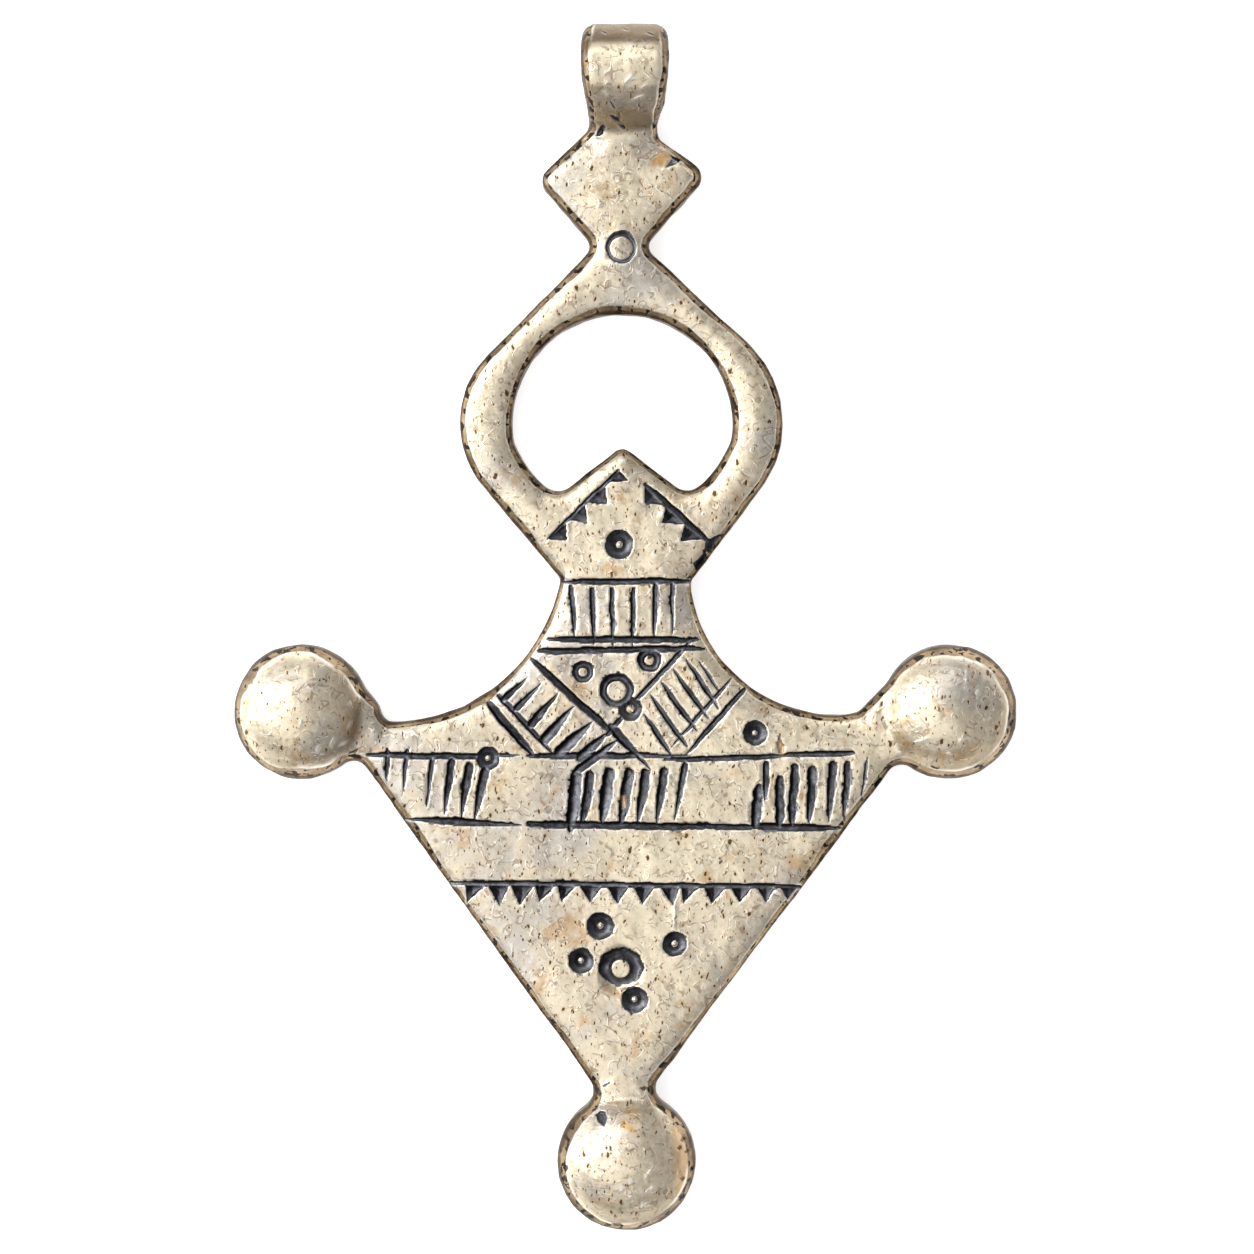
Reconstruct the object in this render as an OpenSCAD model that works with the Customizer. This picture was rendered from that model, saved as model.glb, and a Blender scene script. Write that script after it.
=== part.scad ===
// Cast silver Tuareg cross pendant, lying on its back.
// X runs to the right, Y towards the bail and Z out of the engraved front, in millimetres.
// The origin is the middle of the outline, on the flat back.

/* [Plate] */
// Thickness of the cast plate
plate_t = 2.6; // [2.3:0.1:3.2]
// Width of the sloping edge all round, on both faces
bevel = 0.45; // [0.3:0.05:0.6]
// How far the upper part stands to the left of the middle line
lean = 0.19; // [0:0.01:0.4]

/* [Ring] */
// Width of the ring between its side corners, before they are rounded
ring_w = 24.6; // [23.6:0.1:25.6]
// Radius of the ring's rounded side corners
ring_side_r = 6.4; // [5.6:0.1:7]
// Height of the ring's upper point over the middle of the hole
ring_up = 12.5; // [12:0.1:13]
// Depth of the ring's hidden lower point under the middle of the hole
ring_down = 14.7; // [14:0.1:15.4]
// Width of the hole
hole_d = 13.86; // [12.8:0.02:14.2]
// How much the hole is lower than it is wide
hole_squash = 1.36; // [0.6:0.02:2]
// How much the hole's lower half spreads to both sides
hole_spread = 0.36; // [0.1:0.02:0.6]
// Depth of the gable's tip under the middle of the hole
gable_drop = 1.38; // [1:0.02:2.4]
// Slope of the gable's two sides in degrees
gable_slope = 38; // [34:1:42]

/* [Crown] */
// Width of the lozenge between its side corners, before they are rounded
crown_w = 10.6; // [9.8:0.1:11.4]
// Height of the lozenge over its side corners
crown_up = 4.4; // [4:0.1:4.8]
// Depth of the lozenge under its side corners
crown_down = 6; // [5.6:0.1:6.6]
// Distance from the middle of the hole up to the lozenge's side corners
crown_rise = 15.4; // [15:0.1:16]

/* [Bail] */
// Outside diameter of the rolled bail
bail_d = 6.22; // [5.6:0.02:6.8]
// Diameter of the bore for a cord or chain
bail_bore = 3.8; // [3.2:0.1:4.4]
// Width of the bail at its widest
bail_w = 5.46; // [4.8:0.02:6]
// Distance from the lozenge's side corners up to the bail's bore
bail_rise = 6.26; // [6:0.02:6.6]

/* [Body] */
// Width of the collar at its narrowest
neck_w = 8.36; // [7.6:0.02:9]
// Distance from the middle of the hole down to the middles of the hollow shoulders
neck_drop = 8.56; // [8.2:0.02:9]
// Mean radius of the two hollow shoulders
shoulder_r = 9.6; // [9:0.1:10]
// Distance between the middles of the side knobs
knob_span = 40.44; // [39.6:0.02:41.4]
// Distance from the middle of the hole down to the side knobs
knob_drop = 17.94; // [17.5:0.02:18.4]
// Distance from the side knobs down to the foot knob
foot_drop = 28.06; // [26:0.02:30]
// Height of the triangle's hidden tip over the middle of the foot knob
foot_tip = 2.3; // [2:0.1:2.8]

/* [Knobs] */
// Diameter of each side knob
knob_d = 8.33; // [7.8:0.01:8.8]
// Diameter of the foot knob
foot_d = 8.53; // [8:0.01:9]
// Height of each knob's dome over the back
knob_h = 4.6; // [4:0.1:5.2]

/* [Engraving] */
// Depth of the struck lines
cut_depth = 0.35; // [0.2:0.05:0.5]
// Width of a struck line at its widest
cut_w = 0.42; // [0.3:0.02:0.55]
// Radius of a small punched ring
punch_r = 0.8; // [0.6:0.02:0.95]

/* [Hidden] */
silver = "#cdc2ae";
// Radii of the lozenge's corners and of the plate's other sharp corners
crown_r = 0.8;
corner_r = 0.46;
// Radii of the fillets in the inside corners
waist_fillet = 0.78;
hole_fillet = 1.3;
throat_fillet = 0.85;
under_fillet = 1.0;
foot_fillet = 1.1;
// How far a cutter starts outside the metal
over = 0.2;
// Heights of an engraving cutter's top and keel, and how much wider it is at its top than at the surface
deck_z = plate_t + over;
keel_z = plate_t - cut_depth;
grow = 1 + over / cut_depth;
// Sides of the blanks inside a hull, of a fillet and of a true round
blank_fn = 32;
fillet_fn = 12;
round_fn = 96;

// Places in the plane, seen from the front, with the middle of the hole as zero height
knob_y = -knob_drop;
foot_c = [lean * 0.4, knob_y - foot_drop];
crown_c = [-lean, crown_rise];
ring_c = [-lean, 0];
function low_hole_c(side) = ring_c + [side * hole_spread, hole_squash];
neck_c = [0, -neck_drop];
collar_c = neck_c - [0, 0.1 * neck_w];
gable_tip = ring_c - [0, gable_drop];
bail_y = crown_rise + bail_rise;
bail_z = bail_d / 2;
top_y = bail_y + bail_d / 2;
low_y = foot_c[1] - foot_d / 2;
mid_y = (top_y + low_y) / 2;
function knob_c(side) = [side * knob_span / 2, knob_y];

// Corners before they are rounded: left, top, right and bottom of the lozenge and of the ring
crown_at = [
    crown_c + [-0.500 * crown_w, -0.015 * crown_w],
    crown_c + [-0.042 * crown_w, crown_up],
    crown_c + [0.500 * crown_w, 0.014 * crown_w],
    crown_c + [-0.025 * crown_w, -crown_down],
];
ring_at = [
    ring_c + [-0.498 * ring_w, 0.017 * ring_w],
    ring_c + [-0.011 * ring_w, ring_up],
    ring_c + [0.502 * ring_w, 0.035 * ring_w],
    ring_c + [0.019 * ring_w, -ring_down],
];
ring_radii = [0.95 * ring_side_r, corner_r, 1.06 * ring_side_r, corner_r];
// Collar, left arm, foot, right arm and collar again
body_at = [
    neck_c - [neck_w / 2, 0],
    knob_c(-1) + [0.259, -0.093] * knob_d,
    foot_c + [-0.025 * knob_d, foot_tip],
    knob_c(1) + [-0.196, -0.093] * knob_d,
    neck_c + [neck_w / 2, 0],
];
foot_i = 2;

// The two arms are not quite alike. Columns: side, corner in body_at, shoulder radius as a share of
// shoulder_r, its depth as a share of neck_drop, then reach and rise of the root beside the knob as
// shares of knob_d, and half the neck between the two shoulders as a share of neck_w
ARMS = [
    [-1, 1, 1.132, 0.908, 0.512,  0.011, 0.457],
    [ 1, 3, 0.952, 1.057, 0.577, -0.011, 0.475],
];
// Where the root leaves the knob: its angle over the middle line and its depth inside the rim
root_turn = 60;
root_sink = 0.7;
function arm_side(row) = row[0];
function arm_corner(row) = body_at[row[1]];
function hollow_r(row) = row[2] * shoulder_r;
function hollow_c(row) = [
    neck_c[0] + row[0] * (row[6] * neck_w + hollow_r(row)),
    row[3] * neck_c[1]
];
function root_c(row) = knob_c(row[0]) + [-row[0] * row[4], row[5]] * knob_d;
root_r = 0.6;
function root_start(row) =
    knob_c(row[0]) + [-row[0] * cos(root_turn), sin(root_turn)] * (knob_d / 2 - root_sink);

// Where two lines or rounds of the outline meet
function unit(v) = v / norm(v);
function left_of(v) = [-v[1], v[0]];
function lines_meet(p, u, q, v) =
    p + u * ((q - p) * left_of(v)) / (u * left_of(v));
// The first point at which the line from p along u runs into the circle
function line_meets_circle(p, u, c, r) =
    let (along = (c - p) * u, off = norm(c - p - along * u))
    p + u * (along - sqrt(r * r - off * off));
function circles_meet(a, ra, b, rb, side) =
    let (
        d = norm(b - a),
        along = (ra * ra - rb * rb + d * d) / (2 * d),
        off = sqrt(ra * ra - along * along)
    )
    a + unit(b - a) * along + side * left_of(unit(b - a)) * off;
// Middle of the round of radius r that fits into a corner between its two neighbours
function round_c(before, corner, after, r) =
    let (a = unit(before - corner), b = unit(after - corner), half = acos(a * b) / 2)
    corner + unit(a + b) * r / sin(half);

// A round blank of the plate with the sloping edge on both faces
module puck(r) {
    flat_r = max(r - bevel, 0.02);
    rotate_extrude($fn = blank_fn)
        polygon([[0, 0], [flat_r, 0], [r, bevel], [r, plate_t - bevel], [flat_r, plate_t], [0, plate_t]]);
}

// A blank with straight edges between its rounded corners
module blank(corners, radii) {
    count = len(corners);
    hull()
        for (i = [0:count - 1])
            translate(round_c(
                corners[(i + count - 1) % count], corners[i], corners[(i + 1) % count], radii[i]))
                puck(radii[i]);
}

// A round cutter that leaves a sloping edge on both faces
module spool(r, sides = round_fn, edge = bevel) {
    rotate_extrude($fn = sides)
        polygon([
            [0, -over],
            [r + edge + over, -over],
            [r, edge],
            [r, plate_t - edge],
            [r + edge + over, plate_t + over],
            [0, plate_t + over]
        ]);
}

// Fills an inside corner of the outline with a fillet about the given middle. a and b are the two
// points in which the fillet touches the outline. Its edge slopes a little wider than the plate's. The
// points of inner reach further into the metal, on the side of b.
module web(middle, a, b, inner = []) {
    r = norm(a - middle);
    chord = (a + b) / 2 - middle;
    buried = middle + unit(chord) * (r * r / norm(chord) + 2 * bevel);
    difference() {
        linear_extrude(plate_t)
            polygon(concat([a, buried], inner, [b]));
        translate(middle)
            rotate(atan2(chord[1], chord[0]))
            spool(r / cos(180 / fillet_fn), fillet_fn, 1.1 * bevel);
    }
}

module crown() {
    blank(crown_at, [for (i = [0:3]) crown_r]);
}

// The roof shape that stands into the hole, with its foot buried in the ring
module gable() {
    reach = 0.4 * hole_d;
    drop = reach * tan(gable_slope);
    blank(
        [
            gable_tip,
            gable_tip + [reach, -drop],
            gable_tip + [0.7 * reach, -drop - 0.14 * hole_d],
            gable_tip + [-0.7 * reach, -drop - 0.14 * hole_d],
            gable_tip + [-reach, -drop]
        ],
        [for (i = [0:4]) corner_r]);
}

module hole_webs() {
    r = hole_d / 2;
    for (side = [-1, 1]) {
        fall = [side * cos(gable_slope), -sin(gable_slope)];
        off = side * left_of(fall) * hole_fillet;
        middle = line_meets_circle(
            gable_tip + off + fall * 2 * hole_d, -fall, low_hole_c(side), r - hole_fillet);
        web(middle, middle - off, low_hole_c(side) + unit(middle - low_hole_c(side)) * r);
    }
}

module ring() {
    difference() {
        blank(ring_at, ring_radii);
        intersection() {
            translate(ring_c) spool(hole_d / 2);
            union() {
                for (side = [-1, 1])
                    translate(low_hole_c(side)) spool(hole_d / 2);
            }
        }
    }
    gable();
    hole_webs();
}

module waist_webs() {
    for (side = [-1, 1]) {
        corner = side + 1;
        u = unit(crown_at[corner] - crown_at[3]);
        v = unit(ring_at[corner] - ring_at[1]);
        off_u = -side * left_of(u) * waist_fillet;
        off_v = side * left_of(v) * waist_fillet;
        middle = lines_meet(crown_at[3] + off_u, u, ring_at[1] + off_v, v);
        web(middle, middle - off_u, middle - off_v);
    }
}

// Collar, shoulders, arms and the long triangle in one blank, hollowed by the two shoulder arcs
module body() {
    difference() {
        blank(body_at, [for (i = [0:4]) corner_r]);
        for (row = ARMS)
            translate(hollow_c(row)) spool(hollow_r(row));
    }
}

// The shoulder of metal between a side knob and its arm
module arm_roots() {
    for (row = ARMS)
        hull() {
            translate(root_start(row)) puck(root_r);
            translate(root_c(row)) puck(root_r);
        }
}

module arm_webs() {
    for (row = ARMS) {
        side = arm_side(row);
        throat = circles_meet(
            hollow_c(row), hollow_r(row) - throat_fillet, root_c(row), root_r + throat_fillet, -side);
        web(
            throat,
            hollow_c(row) + unit(throat - hollow_c(row)) * hollow_r(row),
            root_c(row) + unit(throat - root_c(row)) * root_r,
            [knob_c(side) + (root_c(row) - knob_c(side)) * 0.7]);
        fall = unit(body_at[foot_i] - arm_corner(row));
        aside = side * left_of(fall);
        under = line_meets_circle(
            arm_corner(row) + aside * under_fillet + fall * foot_drop, -fall,
            knob_c(side), knob_d / 2 + under_fillet);
        web(
            under,
            under - aside * under_fillet,
            knob_c(side) + unit(under - knob_c(side)) * knob_d / 2);
        low = line_meets_circle(
            arm_corner(row) + aside * foot_fillet, fall, foot_c, foot_d / 2 + foot_fillet);
        web(low, low - aside * foot_fillet, foot_c + unit(low - foot_c) * foot_d / 2);
    }
}

// A disc with sloping edges and a round dome
module knob(d) {
    dome_base = d / 2 - bevel;
    rise = knob_h - plate_t;
    dome_r = (dome_base * dome_base + rise * rise) / (2 * rise);
    rotate_extrude($fn = round_fn) {
        polygon([
            [0, 0],
            [dome_base, 0],
            [d / 2, bevel],
            [d / 2, plate_t - bevel],
            [dome_base, plate_t],
            [0, plate_t]
        ]);
        intersection() {
            translate([0, knob_h - dome_r]) circle(dome_r);
            translate([0, plate_t - over]) square([dome_base, rise + over]);
        }
    }
}

// The rolled loop, its tapering front and the strap that joins it to the plate
module bail_roll() {
    edge = bevel * 0.8;
    // Columns: height as a share of bail_d, then the left and the right side as shares of bail_w
    taper = [
        [ 0.60, -0.54, 0.54],
        [ 0.16, -0.51, 0.51],
        [ 0.00, -0.50, 0.49],
        [-0.24, -0.47, 0.455],
        [-0.44, -0.42, 0.41],
        [-0.58, -0.42, 0.36],
    ];
    right = [for (row = taper) [row[2] * bail_w, row[0] * bail_d]];
    left = [for (i = [len(taper) - 1:-1:0]) [taper[i][1] * bail_w, taper[i][0] * bail_d]];
    strap_low = -0.62 * bail_d;
    strap_top = -0.14 * bail_d;
    translate([0, bail_y]) {
        intersection() {
            translate([0, 0, bail_z])
                rotate([0, 90, 0])
                rotate_extrude($fn = round_fn)
                polygon([
                    [0, -bail_w / 2],
                    [bail_d / 2 - edge, -bail_w / 2],
                    [bail_d / 2, edge - bail_w / 2],
                    [bail_d / 2, bail_w / 2 - edge],
                    [bail_d / 2 - edge, bail_w / 2],
                    [0, bail_w / 2]
                ]);
            translate([0, 0, -over])
                linear_extrude(bail_d + 2 * over)
                polygon(concat(right, left));
        }
        translate([-0.4 * bail_w, strap_low])
            cube([0.76 * bail_w, strap_top - strap_low, plate_t]);
    }
}

module bail_hole() {
    translate([0, bail_y, bail_z])
        rotate([0, 90, 0])
        cylinder(h = 2 * bail_w, d = bail_bore, center = true, $fn = round_fn);
}

// A struck line from a to b: a V groove that narrows to both ends
module groove(a, b, w) {
    along = b - a;
    aside = left_of(unit(along)) * w / 2 * grow;
    p = a + along * 0.2;
    q = b - along * 0.2;
    start = p - along * 0.2 * grow;
    end = q + along * 0.2 * grow;
    polyhedron(
        points = [
            [start[0], start[1], deck_z],
            [p[0] + aside[0], p[1] + aside[1], deck_z],
            [p[0] - aside[0], p[1] - aside[1], deck_z],
            [p[0], p[1], keel_z],
            [q[0] + aside[0], q[1] + aside[1], deck_z],
            [q[0] - aside[0], q[1] - aside[1], deck_z],
            [q[0], q[1], keel_z],
            [end[0], end[1], deck_z]
        ],
        faces = [
            [0, 1, 4, 7, 5, 2],
            [0, 3, 1],
            [0, 2, 3],
            [1, 3, 6, 4],
            [3, 2, 5, 6],
            [4, 6, 7],
            [6, 5, 7]
        ]
    );
}

// A row of struck lines whose ends run evenly from a0 to a1 and from b0 to b1
module hatch(a0, b0, a1, b1, count, w) {
    for (i = [0:count - 1]) {
        share = i / (count - 1);
        groove(a0 + (a1 - a0) * share, b0 + (b1 - b0) * share, w);
    }
}

// A zigzag: a row of three-cornered nicks between a and b, whose tips point to the right of a to b
module teeth(a, b, count, depth) {
    pitch = (b - a) / count;
    tip = -left_of(unit(b - a)) * depth;
    for (i = [0:count - 1]) {
        middle = a + pitch * (i + 0.5);
        keel = middle + tip * 0.2;
        p = keel + (pitch * -0.47 - tip * 0.2) * grow;
        q = keel + (pitch * 0.47 - tip * 0.2) * grow;
        t = keel + tip * 0.8 * grow;
        polyhedron(
            points = [
                [p[0], p[1], deck_z],
                [q[0], q[1], deck_z],
                [t[0], t[1], deck_z],
                [keel[0], keel[1], keel_z]
            ],
            faces = [[0, 1, 2], [0, 3, 1], [1, 3, 2], [2, 3, 0]]
        );
    }
}

// A punched ring with a raised boss in its middle
module punch(r, boss) {
    slope = over * (r - boss) / (2 * cut_depth);
    translate([0, 0, plate_t])
        rotate_extrude($fn = blank_fn)
        polygon([[max(boss - slope, 0.01), over], [(r + boss) / 2, -cut_depth], [r + slope, over]]);
}

// Columns: datum, x and y from it as shares of the datum's own size, radius as a share of punch_r and
// the boss as a share of the radius. Datums: 0 the ring with hole_d, 1 the collar with neck_w, 2 the
// triangle under the side knobs with foot_drop
PUNCHES = [
    [0, -0.009, -0.541, 1.13, 0.26],
    [0, -0.005,  0.789, 1.23, 0.70],
    [1, -0.302, -0.757, 0.88, 0.38],
    [1,  0.198, -0.667, 0.96, 0.37],
    [1, -0.045, -0.892, 1.36, 0.53],
    [1,  1.000, -1.220, 0.96, 0.26],
    [1, -1.025, -1.406, 0.94, 0.26],
    [2, -0.052, -0.476, 1.02, 0.24],
    [2, -0.098, -0.552, 1.02, 0.24],
    [2, -0.010, -0.564, 1.65, 0.40],
    [2,  0.110, -0.515, 0.98, 0.24],
    [2,  0.021, -0.638, 1.05, 0.24],
];
DATUMS = [
    [ring_c, hole_d],
    [collar_c, neck_w],
    [[0, knob_y], foot_drop],
];

module punches() {
    for (row = PUNCHES) {
        datum = DATUMS[row[0]];
        translate(datum[0] + [row[1], row[2]] * datum[1])
            punch(row[3] * punch_r, row[3] * row[4] * punch_r);
    }
}

// Zigzags that follow the two sides of the gable
module gable_marks() {
    u = hole_d;
    teeth(ring_c + [-0.338, -0.520] * u, ring_c + [-0.017, -0.206] * u, 4, 0.078 * u);
    teeth(ring_c + [0.101, -0.268] * u, ring_c + [0.381, -0.518] * u, 3, 0.078 * u);
}

// The collar's three cross lines and its row of upright lines
module collar_marks() {
    top = -0.03 * neck_w;
    low = top - 0.44 * neck_w;
    half = 0.46 * neck_w;
    for (line = [[top, 1.0], [low, 1.2], [low - 0.08 * neck_w, 1.3]])
        groove(collar_c + [-half * line[1], line[0]], collar_c + [half * line[1], line[0]], cut_w);
    hatch(
        collar_c + [-0.40 * neck_w, top - 0.03 * neck_w], collar_c + [-0.36 * neck_w, low + 0.03 * neck_w],
        collar_c + [0.38 * neck_w, top - 0.03 * neck_w], collar_c + [0.37 * neck_w, low + 0.03 * neck_w],
        6, cut_w * 0.7);
}

// The crossed lines that fan out over the two shoulders
module shoulder_marks() {
    u = neck_w;
    from = collar_c;
    groove(from + [-0.67, -0.66] * u, from + [0.21, -1.46] * u, cut_w);
    groove(from + [0.51, -0.54] * u, from + [-0.10, -1.18] * u, cut_w);
    hatch(
        from + [-0.73, -0.78] * u, from + [-0.88, -0.95] * u,
        from + [-0.02, -1.22] * u, from + [-0.36, -1.46] * u,
        7, cut_w);
    hatch(
        from + [0.22, -0.92] * u, from + [0.52, -1.32] * u,
        from + [0.56, -0.60] * u, from + [0.80, -0.95] * u,
        6, cut_w * 0.8);
    hatch(
        from + [-1.00, -0.94] * u, from + [-0.66, -1.34] * u,
        from + [-0.92, -0.89] * u, from + [-0.51, -1.33] * u,
        2, cut_w);
    hatch(
        from + [0.92, -0.89] * u, from + [0.48, -1.34] * u,
        from + [0.84, -0.76] * u, from + [0.40, -1.28] * u,
        2, cut_w * 0.8);
}

// Upper band of the triangle: two long lines with three rows of upright strokes between them
module band_marks() {
    span = knob_span;
    top = knob_y - 0.096 * foot_drop;
    low = knob_y - 0.250 * foot_drop;
    // Columns: from and to along the middle line, as shares of knob_span
    for (line = [[-0.396, -0.228], [-0.150, 0.100], [0.060, 0.240], [0.245, 0.352]])
        groove([line[0] * span, top], [line[1] * span, top], cut_w);
    for (line = [[-0.325, -0.150], [-0.148, 0.195], [0.205, 0.325]])
        groove([line[0] * span, low], [line[1] * span, low], cut_w);
    // Columns: first and last stroke along the middle line, and how many
    for (row = [[-0.330, -0.222, 5], [-0.074, 0.088, 7], [0.210, 0.340, 7]])
        hatch(
            [row[0] * span, top - 0.02 * foot_drop], [(row[0] - 0.008) * span, low + 0.025 * foot_drop],
            [row[1] * span, top - 0.02 * foot_drop], [(row[1] - 0.008) * span, low + 0.025 * foot_drop],
            row[2], cut_w);
}

// Zigzag band half way down the triangle
module zigzag_marks() {
    y = knob_y - 0.383 * foot_drop;
    half = 0.262 * knob_span;
    teeth([-half, y], [half, y], 14, 0.036 * foot_drop);
}

module engraving() {
    punches();
    gable_marks();
    collar_marks();
    shoulder_marks();
    band_marks();
    zigzag_marks();
}

module cross_pendant() {
    color(silver)
        translate([0, -mid_y])
        difference() {
            union() {
                crown();
                ring();
                waist_webs();
                body();
                arm_roots();
                arm_webs();
                for (side = [-1, 1])
                    translate(knob_c(side)) knob(knob_d);
                translate(foot_c) knob(foot_d);
                bail_roll();
            }
            bail_hole();
            engraving();
        }
}

cross_pendant();
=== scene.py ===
"""Looks of a cast silver Tuareg cross pendant that lies on its back.

The blank is taken from the CAD solid below its engraving and closed again as a plain, unmarked casting.
The struck lines, zigzags and punched rings are then pressed into its front, where the mesh is made finer.
Meshes are worked in millimetres in the CAD frame and scaled to metres once, when a piece is finished.
"""

import logging
import math
from dataclasses import dataclass, field
from enum import Enum
from typing import Any, NamedTuple, Sequence

import bmesh
import bpy
import numpy as np
from mathutils import Matrix, Vector
from mathutils.kdtree import KDTree


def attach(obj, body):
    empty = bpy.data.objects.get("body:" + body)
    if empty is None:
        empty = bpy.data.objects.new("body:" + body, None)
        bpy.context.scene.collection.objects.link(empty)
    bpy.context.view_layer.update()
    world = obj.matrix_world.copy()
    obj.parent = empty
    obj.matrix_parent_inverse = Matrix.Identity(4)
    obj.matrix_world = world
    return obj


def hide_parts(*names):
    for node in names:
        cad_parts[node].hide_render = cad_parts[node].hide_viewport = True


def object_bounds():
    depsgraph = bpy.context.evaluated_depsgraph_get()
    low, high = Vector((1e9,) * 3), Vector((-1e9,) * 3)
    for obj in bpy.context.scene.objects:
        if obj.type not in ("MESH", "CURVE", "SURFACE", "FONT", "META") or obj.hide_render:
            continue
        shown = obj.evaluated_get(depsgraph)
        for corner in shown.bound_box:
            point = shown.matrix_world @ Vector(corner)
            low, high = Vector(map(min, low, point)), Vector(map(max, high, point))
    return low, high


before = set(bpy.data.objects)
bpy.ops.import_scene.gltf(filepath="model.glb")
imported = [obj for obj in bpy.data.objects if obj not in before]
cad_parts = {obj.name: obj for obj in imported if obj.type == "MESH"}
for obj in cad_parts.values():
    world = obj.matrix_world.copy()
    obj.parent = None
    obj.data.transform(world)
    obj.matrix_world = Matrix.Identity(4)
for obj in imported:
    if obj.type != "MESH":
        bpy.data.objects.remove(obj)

CAD_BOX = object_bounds()
LOG = logging.getLogger("cross_pendant")
MM = 0.001
NODE = "cross_pendant"
PIECE = "pendant_body"
SEED = 1871
# In millimetres: further than anything on the pendant, and so near that it counts as the same place
FAR = 99.0
TOUCH = 1e-3
# What the casting tells its finish about each point
ATTRIBUTES = ("rim", "groove", "burr", "tone", "stain", "steep")
# A row of a table or of a material's recipe
Row = tuple[Any, ...]


# ----- sizes ------------------------------------------------------------------------------------


@dataclass(frozen=True)
class Sizes:
    """Named sizes of the casting in millimetres, in the CAD frame."""

    plate: float = 2.6
    hole_d: float = 13.86
    neck_w: float = 8.36
    knob_span: float = 40.44
    foot_drop: float = 28.06
    knob_d: float = 8.33
    foot_d: float = 8.53
    knob_h: float = 4.6
    bail_d: float = 6.22
    bail_bore: float = 3.8
    bail_w: float = 5.46
    crown_w: float = 10.6
    crown_c: tuple[float, float] = (-0.19, 28.1475)
    hole_c: tuple[float, float] = (-0.19, 12.7475)
    collar_c: tuple[float, float] = (0.0, 2.3963)
    knob_y: float = -5.1972
    foot_c: tuple[float, float] = (0.076, -33.2525)
    bail_y: float = 34.4075


SIZES = Sizes()


class Datum(Enum):
    """Where a group of marks is measured from, and the named size its shares are taken of."""

    CROWN = (SIZES.crown_c, SIZES.crown_w)
    HOLE = (SIZES.hole_c, SIZES.hole_d)
    COLLAR = (SIZES.collar_c, SIZES.neck_w)
    BAND = ((0.0, SIZES.knob_y), SIZES.knob_span)
    FOOT = ((0.0, SIZES.knob_y), SIZES.foot_drop)

    def place(self, x: float, y: float) -> np.ndarray:
        """A point in millimetres from its two shares."""
        (middle_x, middle_y), unit = self.value
        return np.array([middle_x + x * unit, middle_y + y * unit])

    def length(self, share: float) -> float:
        """A length in millimetres from its share."""
        return share * self.value[1]


# ----- hand-struck marks ------------------------------------------------------------------------


class Stroke(NamedTuple):
    """A struck line. Ends and width are shares of the datum's size, and a width below 0 raises a ridge.
    Head and tail are the shares of its length over which it widens and narrows, and beats counts the
    hammer blows that scallop it."""

    x0: float
    y0: float
    x1: float
    y1: float
    width: float
    head: float = 0.4
    tail: float = 0.4
    beats: int = 0


class RingPunch(NamedTuple):
    """A punched ring. Place and radii are shares of the datum's size, boss is a share of the radius,
    and dots says how its boss ends: 0 plain, 1 with two bright dots, 2 with fine turned lines."""

    x: float
    y: float
    rx: float
    ry: float
    boss: float
    dots: int


class Tooth(NamedTuple):
    """A three-cornered nick of a zigzag: both ends of its base and its tip, as shares."""

    ax: float
    ay: float
    bx: float
    by: float
    tx: float
    ty: float


class ChipOrShadow(NamedTuple):
    """A flaw of the casting, or a dark patch painted as shadow. Depth is a share of the datum's size, and so
    are the corners, each x and then its y. From 0 to 1: how black it is, how light its black is and how ochre
    it is."""

    depth: float
    dark: float
    tone: float
    stain: float
    corners: tuple[float, ...]


class NarrowEdge(NamedTuple):
    """Where the worn edge is narrower: place and reach are shares of the datum's size, and share says
    by how much."""

    datum: Datum
    x: float
    y: float
    reach: float
    share: float


class RollWidth(NamedTuple):
    """A height on the bail's roll as a share of bail_d, with its two sides as shares of bail_w."""

    height: float
    left: float
    right: float


def table(kind: type, rows: dict[Datum, list[Row]]) -> dict[Datum, list]:
    """Gives the rows of a table the named columns of their kind."""
    return {datum: [kind(*row) for row in marks] for datum, marks in rows.items()}


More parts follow.
